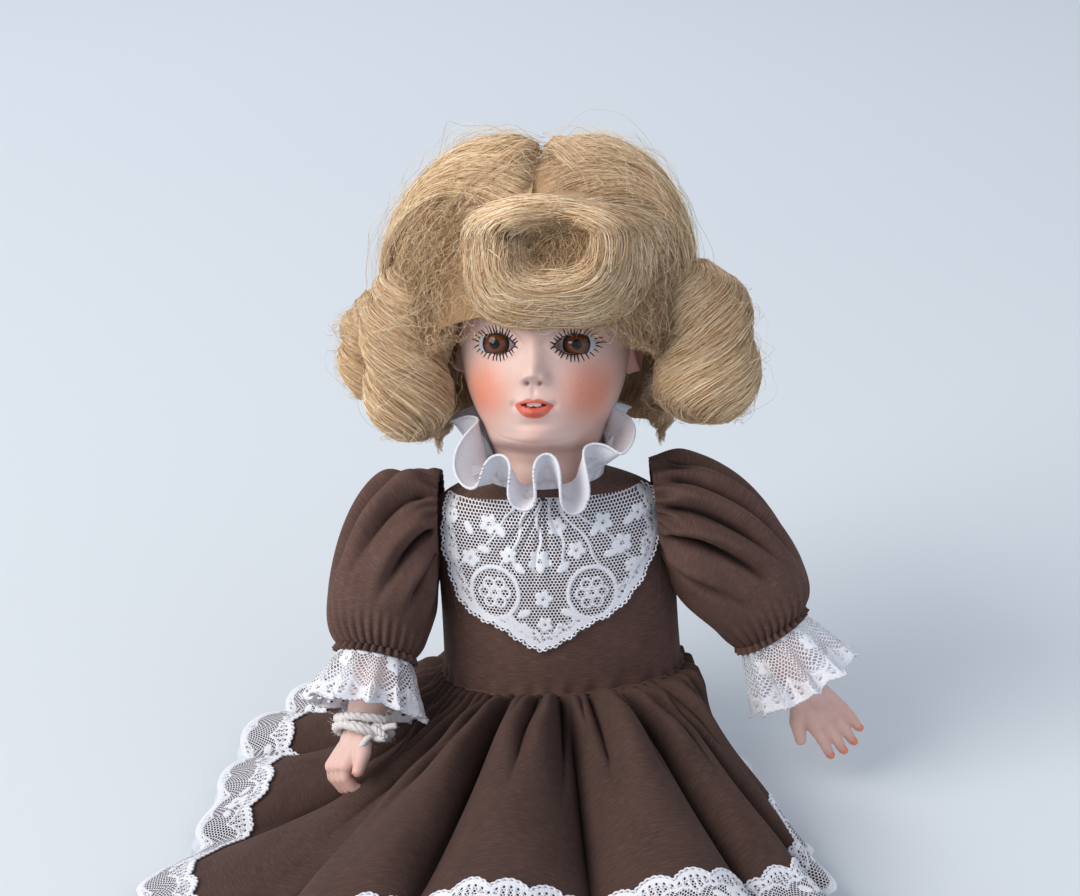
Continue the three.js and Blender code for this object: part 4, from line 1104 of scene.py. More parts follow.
def build_wisps():
    """Stray hairs: over the crown's outline, across the dome, and hanging loops by the ringlets."""
    rng = np.random.default_rng(101)
    count, steps = 420, 18
    t = np.linspace(0, 1, steps)[None]
    side = rng.choice([-1, 1], (count, 1))
    begin = rng.uniform(-0.9, 0.9, (count, 1))
    first = rng.uniform(0, 60, (count, 1))
    reach = rng.uniform(25, 75, (count, 1)) * rng.choice([-1, 1], (count, 1), p=[0.3, 0.7])
    drift = rng.uniform(-0.5, 0.5, (count, 1))
    phi = np.abs(first + reach * t)
    lift = rng.gamma(1.6, 1.5, (count, 1)) * np.sin(math.pi * np.clip(t * 1.05, 0, 1)) ** 0.7
    paths = crown_point(side, np.clip(begin + drift * t, -0.97, 0.97), phi, 0)
    outward = unit(paths - np.array([0, 0, 55]))
    paths = paths + outward * lift[..., None]
    hair("crown_wisps", wavy(paths, 1.6, 14, 1.3), half_width=0.055, seed=70, weights=(3, 1, 4, 1, 4))
    for name, shape in RINGLETS.items():
        count = 150
        s = rng.uniform(0.05, 1.0, (count, 1)) + rng.uniform(0.1, 0.5, (count, 1)) * t
        around = rng.uniform(0, 2 * math.pi, (count, 1)) + rng.uniform(-2.5, 2.5, (count, 1)) * t
        lift = rng.gamma(1.4, 1.5, (count, 1)) * np.sin(math.pi * t)
        paths = ringlet_point(shape, np.clip(s, 0, 0.97), around, lift + 0.5)
        hair(f"{name}_wisps", wavy(paths, 1.2, 15, 1.5), half_width=0.055, seed=71, weights=(3, 1, 4, 1, 4))


def build_hair():
    build_crown()
    build_sweeps()
    build_back_hair()
    build_fringe()
    for k, (name, shape) in enumerate(RINGLETS.items()):
        build_ringlet(name, shape, 1500 if "outer" in name else 2400, 200 + 10 * k)
    for k, (side, centre) in enumerate([(-1, (-40, 20, 20)), (1, (38, 20, 24))]):
        tail = build_tail(f"tail_curl_hair_{SIDE_NAME[side]}", centre, (6.5, 6, 11), 300 + k)
        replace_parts(tail, f"tail_curl_{SIDE_NAME[side]}")
    build_wisps()


# ---- lace patterns ---------------------------------------------------------------------------------


def disc(u, v, cu, cv, radius):
    return np.hypot(u - cu, v - cv) - radius


def ring_of(distance, width):
    """1 on a line of that width along distance 0, fading a little at its sides."""
    return smooth(np.abs(distance), width / 2 + 0.15, width / 2 - 0.1)


def flower(u, v, size, petals=5, spin=0.0):
    """A woven flower round 0, 0: round petals and an open eye."""
    r, angle = np.hypot(u, v), np.arctan2(v, u) + spin
    edge = size * (0.62 + 0.38 * np.abs(np.cos(petals * angle / 2)))
    return smooth(r, edge + 0.15, edge - 0.15) * smooth(r, size * 0.12, size * 0.25)


def leaf(u, v, angle, length, width):
    c, s = math.cos(angle), math.sin(angle)
    along, across = u * c + v * s, -u * s + v * c
    return smooth((along / length - 1) ** 2 + (across / width) ** 2, 1.15, 0.85)


def border(u, v, pitch, deep):
    """How closed an edging is at u along it and v in from its edge: cord, eyelets, vine and flowers."""
    k = (u / pitch + 0.5) % 1 - 0.5
    x = k * pitch
    solid = smooth(v, 1.35, 1.1)
    eyelet = np.hypot(((u / 2.2) % 1 - 0.5) * 2.2, v - 2.3)
    solid = np.maximum(solid, smooth(v, 3.4, 3.2) * smooth(eyelet, 0.5, 0.75))
    vine = v - deep * 0.52 - deep * 0.16 * np.sin(2 * math.pi * u / pitch)
    solid = np.maximum(solid, ring_of(vine, 0.8) * (v < deep * 0.9))
    solid = np.maximum(solid, flower(x, v - deep * 0.52, min(pitch * 0.24, deep * 0.2)))
    for angle, away in ((0.9, 1), (2.2, -1)):
        sprig = leaf(x - away * pitch * 0.25, v - deep * 0.5, angle, deep * 0.13, deep * 0.06)
        solid = np.maximum(solid, sprig)
    return solid


def scalloped_edge(u, v, pitch, deep):
    """A woven edging whose inner side rises to points between its scallops: eyelets in a dense band."""
    k = (u / pitch + 0.5) % 1 - 0.5
    top = deep * (0.55 + 0.75 * np.abs(2 * k) ** 1.6)
    solid = ring_of(v - top, 1.1)
    eyelet = np.hypot(((u / 2.3) % 1 - 0.5) * 2.3, v - 2.2)
    solid = np.maximum(solid, smooth(v, 1.2, 1.0))
    solid = np.maximum(solid, smooth(v, 3.2, 3.0) * smooth(eyelet, 0.55, 0.8))
    bars = np.abs(((u / 2.3 + 0.5) % 1 - 0.5) * 2.3)
    return np.maximum(solid, smooth(bars, 0.5, 0.3) * (v < top) * (v > 3))


def edge_cord(name, path, matrix, body, picot=0.7, pitch=2.2, radius=0.32):
    """The corded picot edge: a thread that runs out into a small loop at each step along the path."""
    path = np.asarray(path, float)
    steps = np.linalg.norm(np.diff(path, axis=0), axis=1)
    run = np.concatenate([[0], np.cumsum(steps)])
    count = int(run[-1] / 0.35)
    s = np.linspace(0, run[-1], count)
    line = np.stack([np.interp(s, run, path[:, k]) for k in range(3)], -1)
    along = unit(np.gradient(line, axis=0))
    inner = unit(path.mean(0) - line)
    out = -unit(inner - along * (inner * along).sum(-1, keepdims=True))
    loops = picot * np.abs(np.sin(math.pi * s / pitch))[:, None]
    points, faces = tubes((line + out * loops)[None], radius, 5)
    return make(name, points, faces, matrix, LACE_THREAD, body, slot="lace")


# ---- dress -----------------------------------------------------------------------------------------

BODICE_LEVELS = [
    (18, 38.4, 28, 25.5), (23.5, 38.2, 27.5, 25), (34, 37.8, 27.4, 25), (46, 37.6, 27.4, 25),
    (58, 37.8, 27, 25), (68, 38.2, 26, 24.5), (76, 38.4, 24.6, 23.8), (81.5, 37.4, 23.4, 23),
    (85, 33, 22.4, 22.2), (87.6, 26, 21.6, 21.4), (89, 20.8, 20.8, 20.8), (90.5, 20.0, 20.0, 20.0),
]
SEAM = 20.5  # height of the waist's seam


def bodice_point(angle, z, grow=0.0):
    width, front, back = curve(BODICE_LEVELS, z)
    ahead, out = np.cos(angle), np.sin(angle)
    width = width + LEFT_FULLNESS * (out > 0) * smooth(z, 76, 44)
    depth = np.where(ahead > 0, front, back)
    fold = 0.55 * ripple(angle / 6.283 + z / 210, 17, 2) * smooth(z, 88, 70)
    fold = fold + 0.5 * np.sin(angle * 30 + 2 * np.sin(angle * 5)) * smooth(z, 27, SEAM)
    for side, slope in ((-1, 0.55), (1, 0.5)):
        crease = (z - 70) - slope * 40 * (side * angle - 1.05)
        fold = fold + 0.55 * bump((crease, 3.2), (side * angle - 1.15, 0.35))
        fold = fold - 0.4 * bump((crease + 5, 2.4), (side * angle - 1.15, 0.35))
    grow = grow + fold
    return points_at(out * (width + grow), -ahead * (depth + grow), z)


def build_bodice():
    rows, columns = 110, 260
    z = np.linspace(SEAM - 1.5, 90.3, rows)[:, None]
    angle = np.linspace(0, 2 * math.pi, columns, endpoint=False)[None]
    points = bodice_point(angle, z, 0.3)
    body = make("bodice_cloth", points, grid(rows, columns, True), TORSO, BROWN, "torso",
                uv=tube_uv(points), slot="cotton")
    thick(body, 0.5)
    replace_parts(body, "bodice")
    seam = bodice_point(np.linspace(0, 2 * math.pi, 260), SEAM, 0.75)
    points, faces = tubes(seam[None], 0.55, 6)
    make("waist_seam", points, faces, TORSO, BROWN, "torso", slot="cotton", uv=points[:, :2])
    for side in (-1, 1):
        t = np.linspace(0, 1, 80)
        around = np.radians(55 + 70 * t) * side
        z = 44 + 38 * np.sin(np.pi * t)
        line = bodice_point(around, z, 0.5)
        points, faces = tubes(line[None], 0.4, 5)
        make(f"armhole_seam_{SIDE_NAME[side]}", points, faces, TORSO, BROWN, "torso", slot="cotton",
             uv=points[:, :2])


# The bib's outline from its top right corner, seen from ahead, round its point to its top left
BIB_OUTLINE = [
    (-32, 86), (-34, 76), (-33, 65), (-30, 54), (-24, 48.5), (-17, 46), (-10, 41), (-4, 38.2), (3, 41),
    (11, 46), (20, 49.5), (29, 58), (34.5, 69), (36, 79), (33, 86),
]
BIB_TOP = (-1, 88.4)


def on_bodice(x, z, lift):
    """A point of the bodice's front at x and z, a little above the cloth."""
    width = curve(BODICE_LEVELS, z)[0] + LEFT_FULLNESS * (x > 0) * smooth(z, 76, 44)
    angle = np.arcsin(np.clip(x / (width + 1), -0.985, 0.985))
    return bodice_point(angle, z, lift)


def bib_pattern(x, z, r):
    """Two medallions above the point, flower sprays between, pleats from the neck, and a wrought edge."""
    edge = (1 - r) * 40
    solid = border(x * 0.9 + z * 0.8, edge, 9, 6.5) * smooth(edge, 6.4, 6.0)
    solid = np.maximum(solid, smooth(edge, 1.6, 1.3))
    for cx, cz in ((-18.5, 57), (13.5, 56)):
        outer = np.hypot((x - cx) / 1.0, (z - cz) / 1.12)
        solid = np.where(outer < 8.4, 0, solid)
        solid = np.maximum(solid, ring_of(outer - 7.9, 1.3))
        for k in range(6):
            a = k * math.pi / 3
            petal = disc(x, z, cx + 3.5 * math.cos(a), cz + 3.6 * math.sin(a), 1.7)
            solid = np.maximum(solid, ring_of(petal, 0.75))
        solid = np.maximum(solid, ring_of(disc(x, z, cx, cz, 1.2), 0.7))
    for cx, cz, size, spin in (
        (-3, 68, 4.0, 0.3), (-2.5, 55, 3.2, 0.0), (-13, 70, 3.0, 0.8), (9, 71, 3.2, 0.2),
        (24, 71, 3.6, 0.6), (-26, 68, 3.2, 0.1), (18, 79, 3.4, 0.4), (-19, 80, 3.4, 0.2),
        (27, 63, 2.6, 0.0), (-2.5, 46, 2.8, 0.5), (3, 79, 3.2, 0.0), (30, 80, 2.8, 0.3),
    ):
        solid = np.maximum(solid, flower(x - cx, z - cz, size, 5, spin))
    for cx, cz, angle, length in (
        (-8, 64, 2.4, 2.6), (2.5, 64, 0.7, 2.6), (-7, 51, 3.6, 2.4), (3, 51, 5.8, 2.4), (18, 68, 0.2, 2.4),
        (-19, 71, 2.9, 2.2), (14, 75, 1.0, 2.2), (-14, 76, 2.1, 2.2), (25, 77, 0.6, 2.4), (-25, 76, 2.0, 2.4),
    ):
        solid = np.maximum(solid, leaf(x - cx, z - cz, angle, length, 1.3))
    for slope in (-0.95, -0.5, -0.12, 0.24, 0.62, 1.0):
        line = (x - BIB_TOP[0]) - slope * (BIB_TOP[1] + 6 - z)
        solid = np.maximum(solid, ring_of(line + 1.0 * np.sin(z * 0.4), 0.9) * smooth(z, 62, 66) * 0.9)
    return solid


def build_bib():
    rows, columns = 100, 300
    part = np.linspace(0, 1, len(BIB_OUTLINE))
    share = np.linspace(0, 1, columns)
    rim_x, rim_z = curve(np.column_stack([part, BIB_OUTLINE]), share)
    outward = unit(np.stack([rim_x - BIB_TOP[0], rim_z - 66], -1))
    scallop = 0.9 * np.abs(np.sin(math.pi * share * 21))
    rim_x, rim_z = rim_x + outward[:, 0] * scallop, rim_z + outward[:, 1] * scallop
    r = np.linspace(0.02, 1, rows)[:, None]
    x = BIB_TOP[0] + (rim_x - BIB_TOP[0])[None] * r
    z = BIB_TOP[1] + (rim_z - BIB_TOP[1])[None] * r
    pleats = 0.9 * np.abs(np.sin(math.pi * share * 9))[None] * smooth(r, 0.75, 0.3)
    solid = bib_pattern(x, z, r)
    lift = 1.15 + pleats + 0.3 * solid + 0.3 * ripple(share[None] * 2, 7) * r
    points = on_bodice(x, z, lift)
    uv = np.stack([x, z], -1)
    bib = make("lace_bib", points, grid(rows, columns), TORSO, LACE, "torso", uv=uv, values={"solid": solid},
               slot="lace")
    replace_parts(bib, "bib")
    rim = on_bodice(x[-1], z[-1], lift[-1] + 0.1)
    cord = edge_cord("bib_edge", rim, TORSO, "torso", picot=0.8, pitch=1.9)
    return bib


def collar_point(angle, t):
    """The ruffle round the neck: deep waves that fall open in front and stand up beside the jaw."""
    phase = 9 * angle + 1.0 * np.sin(2 * angle + 0.4) + 0.7 * np.sin(3 * angle) + 0.9
    beside = smooth(np.abs(np.sin(angle / 2)), 0.20, 0.62)
    length = 15 + 5 * beside
    wave_height = np.sin(phase) * (1 + 0.15 * np.sin(5 * angle))
    tilt = np.radians(17 + 53 * beside + (39 - 25 * beside) * wave_height * smooth(t, -0.1, 0.5))
    turned = angle - 0.05 * t * np.sin(2 * phase)
    reach = 19.6 + length * t * np.cos(tilt) + 0.8 * beside * t
    up = 88.6 + 3.6 * smooth(t, 0, 0.14) + length * t * np.sin(tilt)
    return points_at(reach * np.sin(turned), -reach * np.cos(turned), up)


def build_collar():
    rows, columns = 34, 520
    t, angle = tube_places(rows, columns)
    points = collar_point(angle, t)
    uv = tube_uv(points)
    u, v = uv[..., 0], 17 - uv[..., 1]
    cloud = 0.5 + 0.5 * ripple(u / 30 + v / 60, 15, 4)
    dense = smooth(cloud, 0.44, 0.56) * smooth(v, 1.0, 2.5)
    dense = np.maximum(dense, flower(((u / 11) % 1 - 0.5) * 11, v - 7, 3.0))
    solid = np.clip(np.maximum(dense, smooth(v, 2.4, 1.8)), 0, 1)
    collar = make("lace_collar", points, grid(rows, columns, True), TORSO, LACE_FINE, "torso", uv=uv,
                  values={"solid": solid}, slot="lace")
    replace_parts(collar, "collar")
    rim = collar_point(np.linspace(0, 2 * math.pi, 900), 1.0)
    cord = edge_cord("collar_edge", rim, TORSO, "torso", picot=0.2, pitch=1.6, radius=0.55)


# Each fold of a sleeve: where it starts round the armhole, its slant, depth and width
SLEEVE_FOLDS = {
    1: [(-1.0, 0.9, 2.6, 0.13), (-0.55, 1.3, 3.2, 0.14), (0.05, 1.1, 2.4, 0.15), (0.7, 0.7, 2.0, 0.16),
        (1.6, 0.2, 2.2, 0.17), (2.6, -0.3, 2.4, 0.2), (3.6, 0.4, 2.2, 0.2), (4.5, 0.3, 2.0, 0.2)],
    -1: [(-1.1, 0.6, 2.2, 0.13), (-0.6, 0.7, 2.8, 0.15), (0.1, 0.6, 2.2, 0.16), (0.75, 0.3, 1.8, 0.18),
         (1.7, 0.1, 2.2, 0.2), (2.6, -0.3, 2.2, 0.2), (3.7, 0.4, 2.2, 0.2), (4.6, 0.3, 2.0, 0.2)],
}


SHOULDER_POCKET = {1: 3.0, -1: 8.0}  # how deep the puff's top has sunk in
PUFF_TOP = {1: 24, -1: 33}  # how high the curve of each puff is drawn up past the shoulder
HEM_DOWN = {1: SLEEVE_HEM, -1: SLEEVE_HEM - 4}  # the sleeve's hem, down the arm


def sleeve_point(side, angle, t):
    """The puffed sleeve in its arm's swinging frame: full and gathered in at both ends."""
    lean = math.radians(ARM_SPREAD[side])
    start = ARMHOLE_OUT + 0.4 - SHOULDER_OUT
    hem = np.array([HEM_DOWN[side] * math.sin(lean) + 1, -HEM_DOWN[side] * math.cos(lean)])
    half = np.array([12.4 * math.cos(lean), 12.4 * math.sin(lean)])
    inner = [(start - 2, -15.5), (start + 0.6, -26), hem - half + (-9, 9), hem - half]
    outer = [(start - 4, 15), (12, PUFF_TOP[side]), hem + half + (13, 14), hem + half]
    weights = [(1 - t) ** 3, 3 * t * (1 - t) ** 2, 3 * t**2 * (1 - t), t**3]
    near = sum(w[..., None] * np.array(p) for w, p in zip(weights, inner))
    far = sum(w[..., None] * np.array(p) for w, p in zip(weights, outer))
    middle, reach = (near + far) / 2, (far - near) / 2
    depth = 17 + (12.4 - 17) * t + 5.5 * np.sin(math.pi * np.clip(t, 0, 1)) ** 0.8
    gathers = 1.1 * np.sin(22 * angle + 3 * np.sin(3 * angle)) * smooth(t, 0.25, 0.02)
    gathers = gathers + 1.0 * np.sin(26 * angle + 4 * np.sin(2 * angle)) * smooth(t, 0.72, 0.97)
    grow = 1 + (gathers + sleeve_folds(side, angle, t)) / 18
    across = np.sin(angle) * grow
    x = middle[..., 0] + reach[..., 0] * across
    z = middle[..., 1] + reach[..., 1] * across
    return points_at(side * x, -np.cos(angle) * (depth * grow), z)


def sleeve_folds(side, angle, t):
    """How far the sleeve's loose cloth stands out, and sinks in, along its slanting folds."""
    turned = angle / (2 * math.pi)
    folds = 2.4 * ripple(turned + 0.10 * t * side, 23 + side, 3) * np.sin(math.pi * np.clip(t, 0, 1)) ** 0.7
    for place, slope, deep, wide in SLEEVE_FOLDS[side]:
        line = (angle - place - slope * t + math.pi) % (2 * math.pi) - math.pi
        along = smooth(t, 0.02, 0.15) * smooth(t, 0.78, 0.35)
        ridge, valley = bump((line - 1.3 * wide, wide)), bump((line, wide * 0.6))
        folds = folds + along * deep * 1.9 * (0.6 * ridge - valley)
    top = (angle - 1.2 + math.pi) % (2 * math.pi) - math.pi
    folds = folds + SHOULDER_POCKET[side] * 0.35 * bump((top + 0.6, 0.3), (t - 0.16, 0.1))
    return folds - SHOULDER_POCKET[side] * bump((top, 0.36), (t - 0.13, 0.09))


def build_sleeve(side):
    name = SIDE_NAME[side]
    rows, columns = 90, 320
    t = np.linspace(0, 1, rows)[:, None] + np.zeros((1, columns))
    angle = np.linspace(0, 2 * math.pi, columns, endpoint=False)[None] + 0 * t
    points = sleeve_point(side, angle, t)
    uv = tube_uv(points)
    faces = grid(rows, columns, True)
    # The value valley paints shade into the hollows of the sleeve's folds.
    sleeve = make(f"sleeve_cloth_{name}", points, faces if side < 0 else faces[:, ::-1], SWING[side], BROWN,
                  f"{name}_arm", uv=uv, slot="cotton",
                  values={"valley": smooth(-sleeve_folds(side, angle, t), 0.6, 4.0)})
    thick(sleeve, 0.5)
    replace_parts(sleeve, f"sleeve_{name}")
    frill_rows = 14
    s = np.linspace(0, 1, frill_rows)[:, None]
    turned = np.linspace(0, 2 * math.pi, columns, endpoint=False)[None]
    ruffle = np.sin(26 * turned + 4 * np.sin(2 * turned))
    radius = 12.0 - 1.4 * np.sin(math.pi * s) ** 0.5 * (s < 0.5) + 1.6 * s + (0.5 + 0.6 * s) * ruffle
    down = -(HEM_DOWN[side] - 2 + 4.6 * s) + 0.3 * s * ruffle
    frill_points = points_at(side + radius * np.sin(turned), -radius * np.cos(turned), down)
    frill = make(f"sleeve_frill_{name}", frill_points[::-1], grid(frill_rows, columns, True), SPREAD[side],
                 BROWN, f"{name}_arm", slot="cotton",
                 uv=tube_uv(frill_points))
    thick(frill, 0.5)


CUFF_LENGTH, CUFF_SCALLOPS = {1: 21, -1: 17.5}, 15


def build_cuff(side):
    """The gathered lace below the sleeve: it flares and ends in scallops."""
    name = SIDE_NAME[side]
    rows, columns = 60, 480
    t, angle = tube_places(rows, columns)
    scallop = np.abs(np.sin(CUFF_SCALLOPS * angle / 2))
    long = CUFF_LENGTH[side] + 1.5 * scallop
    ruffle = np.sin(11 * angle + 1.3 * np.sin(2 * angle + side))
    radius = 11.6 + 7.4 * t**0.8 + 2.1 * t * ruffle + 0.8 * np.sin(3 * angle + 1) * t
    around = angle + 0.06 * t * np.cos(11 * angle)
    around_mm = 15.5 * angle + 0 * t
    from_edge = (1 - t) * long
    pitch = 15.5 * 2 * math.pi / CUFF_SCALLOPS
    solid = scalloped_edge(around_mm, from_edge, pitch, 6.5)
    spray = ((around_mm / (pitch * 3)) % 1 - 0.5) * pitch * 3
    solid = np.maximum(solid, flower(spray, from_edge - 14.5, 3.2))
    solid = np.maximum(solid, smooth(from_edge, CUFF_LENGTH[side] - 1.4, CUFF_LENGTH[side] - 1.0))
    radius = radius + 0.25 * solid
    down = -(HEM_DOWN[side] + 1.2) - long * t
    points = points_at(side + radius * np.sin(around), -radius * np.cos(around), down)
    uv = np.stack([around_mm, from_edge], -1)
    cuff = make(f"lace_cuff_{name}", points[::-1], grid(rows, columns, True), SPREAD[side], LACE,
                f"{name}_arm", uv=uv[::-1], values={"solid": solid[::-1]}, slot="lace")
    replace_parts(cuff, f"cuff_{name}")
    rim = np.concatenate([points[-1], points[-1][:1]])
    cord = edge_cord(f"cuff_edge_{name}", rim, SPREAD[side], f"{name}_arm", picot=0.7, pitch=1.9)


# ---- skirt -----------------------------------------------------------------------------------------

# (degrees, radius of the hem, its height, how steeply the skirt falls to it): it passes over the shins
HEM = [
    (0, 150, 24, 2), (22, 150, 24, 2), (33, 144, 13, 1.5), (41, 130, 6, 1.1), (47, 108, 3, 1),
    (54, 92, 1, 1), (62, 79, 0, 1.2), (74, 67, 0, 1.6), (90, 59, 0, 2), (110, 56, 0, 2), (140, 58, 0, 2),
    (180, 63, 0, 2), (225, 88, 0, 2.4), (256, 108, 0, 3.4), (272, 114, 0, 4), (286, 118, 0, 4.6),
    (296, 134, 0, 5), (304, 160, 0, 5), (316, 170, 0, 4.2), (328, 168, 9, 2.8), (341, 157, 22, 2),
    (350, 151, 24, 2), (360, 150, 24, 2),
]
HEM_MIDDLE = np.array([5, -4, 0])


def wave(angle, count, seed, sharp=1.0):
    """Irregular folds round a full turn, -1 to 1: rounded tops, and valleys like creases below sharp 1."""
    rng = np.random.default_rng(seed)
    drift = sum(rng.uniform(-1, 1) * np.sin(k * angle + rng.uniform(0, 6.3)) for k in range(1, 7))
    return 2 * np.abs(np.sin(count * angle / 2 + 0.55 * drift)) ** sharp - 1


# The skirt's folds: how many go round, the seed they vary by, and how sharp they are
LARGE_FOLDS, MIDDLE_FOLDS = (17, 5, 0.62), (33, 3, 0.65)


def skirt_point(angle, t, lower=0.0, longer=0.0):
    """From the gathered waist, t 0, over the lap to the hem, t 1, in the floor's frame."""
    angle, t = np.broadcast_arrays(np.asarray(angle, float), np.asarray(t, float))
    width, front, back = WAIST[0] - 0.8, WAIST[1] - 0.6, WAIST[2] - 0.4
    out, ahead = np.sin(angle), np.cos(angle)
    depth = np.where(ahead > 0, front, back)
    width = width + LEFT_FULLNESS * (out > 0)
    waist = placed(TORSO, points_at(out * (width - lower), -ahead * (depth - lower), SEAM - lower * 0.6))
    table = np.array(HEM, float)
    degrees = np.degrees(angle) % 360
    row = np.clip(np.searchsorted(table[:, 0], degrees, side="right") - 1, 0, len(table) - 2)
    part = smooth((degrees - table[row, 0]) / (table[row + 1, 0] - table[row, 0]), 0, 1)
    radius, height, fall = (table[row, k] + (table[row + 1, k] - table[row, k]) * part for k in (1, 2, 3))
    raised = smooth(height, -6, 26)
    big = wave(angle, *LARGE_FOLDS)
    radius = radius + longer - 3 + (1.6 + 2.0 * (1 - raised)) * big
    hem = HEM_MIDDLE + points_at(radius * out, -radius * ahead, 0)
    low = height + 4.4
    point = waist + (hem - waist) * t[..., None]
    base = low + (waist[..., 2] - low) * (1 - t) ** fall
    gather = 2.0 * wave(angle, 58, 11, 0.8) * smooth(t, 0.34, 0.04) * smooth(t, 0, 0.015)
    middle = 5.0 * wave(angle + 0.05 * t, *MIDDLE_FOLDS) * smooth(t, 0.02, 0.14) * smooth(t, 0.60, 0.22)
    large = (9.5 * big + 2) * smooth(t, 0.04, 0.35) * (1 - 0.55 * smooth(t, 0.7, 1))
    over = 5.5 * smooth(t, 0, 0.10) * smooth(t, 0.9, 0.3) * (0.45 + 0.55 * raised)
    sweep = bump((degrees - 324 - 18 * (t - 0.4), 9))
    over = over + 7.5 * sweep * smooth(t, 0.1, 0.45) * smooth(t, 1.02, 0.7)
    z = base + (gather + middle + large) * (0.5 + 0.5 * raised) + over - lower
    floor = 0.5 + (3.2 if lower == 0 else 0.3) * (1 - raised)
    if lower:
        hang = smooth(np.abs(radius * out), 40, 54) * smooth(t, 0.92, 1)
        z = z + (floor - z) * hang
    point[..., 2] = np.maximum(z, floor)
    slip = (gather + 0.7 * middle + 0.25 * large)[..., None] * points_at(out, -ahead, 0 * out)
    return point + slip * smooth(t, 0.6, 0.08)[..., None]


def build_skirt():
    rows, columns = 120, 900
    t = np.linspace(0, 1, rows)[:, None] ** 1.05
    angle = np.linspace(0, 2 * math.pi, columns, endpoint=False)[None]
    points = skirt_point(angle, t)
    # Painted shade for the skirt's fold hollows: the large folds' creases and the small folds near the waist,
    # stored as the value valley.
    crease_shade = smooth(wave(angle, *LARGE_FOLDS), -0.1, -0.9) * smooth(t, 0.03, 0.3) * smooth(t, 1, 0.55)
    small = smooth(wave(angle + 0.05 * t, *MIDDLE_FOLDS), -0.1, -0.9)
    small = small * smooth(t, 0.01, 0.06) * smooth(t, 0.5, 0.2)
    uv = tube_uv(points)
    faces = grid(rows, columns, True)[:, ::-1]
    skirt = make("skirt_cloth", points, faces, FLOOR, BROWN_LAP_SHADED, "torso", uv=uv, slot="cotton",
                 values={"valley": np.maximum(crease_shade, 0.9 * small)})
    thick(skirt, 0.5)
    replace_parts(skirt, "skirt")
    under = skirt_point(angle, t, lower=3.0, longer=3.5)
    petticoat = make("petticoat_cloth", under, faces, FLOOR, BATISTE, "torso",
                     uv=tube_uv(under), slot="batiste")
    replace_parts(petticoat, "petticoat")
    build_hem_lace()


LACE_BAND = 18  # width of the lace along the hem


def build_hem_lace():
    """Lace sewn flat over the hem: scallops up the skirt and a picot edge just past the hem."""
    rows, columns = 70, 2000
    across, angle = tube_places(rows, columns)
    rim = skirt_point(angle, np.ones((1, 1)))
    run = np.concatenate([[0], np.cumsum(np.linalg.norm(np.diff(rim[0], axis=0), axis=1))])[None]
    span = np.linalg.norm(rim - skirt_point(angle, np.zeros((1, 1))), axis=-1)
    scallop = np.abs(np.sin(math.pi * run / 13.0)) ** 0.8
    high = LACE_BAND - 3.0 + 3.0 * scallop
    t = 1 + (2.0 - (1 - across) * (high + 2.0)) / span
    points = skirt_point(angle, np.minimum(t, 1))
    beyond = np.clip(t - 1, 0, None) * span
    outward = points_at(np.sin(angle), -np.cos(angle), -0.2)
    from_top = (across + 0 * run) * (high + 2.0)
    from_hem = (1 - across) * (high + 2.0) + 0 * run
    solid = scalloped_edge(run + 0 * across, from_top, 13.0, 6.5)
    spray = ((run / 39) % 1 - 0.5) * 39
    solid = np.maximum(solid, flower(spray, from_hem - 10, 4.2))
    for angle, away in ((0.6, 4.5), (2.5, -4.5)):
        solid = np.maximum(solid, leaf(spray - away, from_hem - 8.5, angle, 2.6, 1.3))
    solid = np.maximum(solid, scalloped_edge(run + 6.5, from_hem, 13.0, 3.4))
    points = points + outward * beyond[..., None] + points_at(0, 0, 0.75 + 0.25 * solid)
    uv = np.stack([run + 0 * across, from_top], -1)
    lace = make("lace_hem", points, grid(rows, columns, True)[:, ::-1], FLOOR, LACE, "torso", uv=uv,
                values={"solid": solid}, slot="lace")
    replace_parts(lace, "hem_lace")
    top = np.concatenate([points[0], points[0][:1]]) + (0, 0, 0.15)
    edge = edge_cord("lace_hem_edge", top, FLOOR, "torso", picot=-0.8, pitch=2.0, radius=0.42)


# ---- arms and hands --------------------------------------------------------------------------------


CAPSULE_SIDES, CAPSULE_ROWS = 24, 17


def capsule(start, end, start_radius, end_radius):
    """A bar with round ends between two points."""
    start, end = np.asarray(start, float), np.asarray(end, float)
    t = np.linspace(-1, 1, CAPSULE_ROWS)
    along = np.clip(t * 1.6, -1, 1) / 2 + 0.5
    past_end = np.clip(np.abs(t) - 0.625, 0, 1) / 0.375
    plain_radius = start_radius + (end_radius - start_radius) * along
    radius = plain_radius * np.sqrt(np.clip(1 - past_end**2, 0.0004, 1))
    axis = unit(end - start)
    reach = np.sign(t) * past_end * plain_radius
    centre = start + (end - start) * along[:, None] + axis * reach[:, None]
    first = unit(np.cross(axis, (0, 1, 0.001)))
    second = np.cross(axis, first)
    angle = np.linspace(0, 2 * math.pi, CAPSULE_SIDES, endpoint=False)
    ring = np.cos(angle)[:, None] * first + np.sin(angle)[:, None] * second
    points = centre[:, None] + ring[None] * radius[:, None, None]
    rim = np.arange(CAPSULE_SIDES)
    ends = [rim[::-1][None], (rim + (CAPSULE_ROWS - 1) * CAPSULE_SIDES)[None]]
    return points.reshape(-1, 3), grid(CAPSULE_ROWS, CAPSULE_SIDES, True), ends


def melted(name, parts, matrix, material, body, voxel, smoothing):
    """One smooth skin over overlapping bars."""
    points, walls, caps, first = [], [], [], 0
    for p, base, ends in parts:
        points.append(p)
        walls.append(base + first)
        caps += [e + first for e in ends]
        first += len(p)
    faces = [np.concatenate(walls), np.concatenate(caps)]
    obj = make(name, np.concatenate(points), faces, matrix, material, None)
    remesh = obj.modifiers.new("melt", "REMESH")
    remesh.mode, remesh.voxel_size = "VOXEL", voxel * MM
    soften = obj.modifiers.new("soften", "SMOOTH")
    soften.factor, soften.iterations = 0.5, smoothing
    frozen(obj)
    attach(obj, body)
    return obj


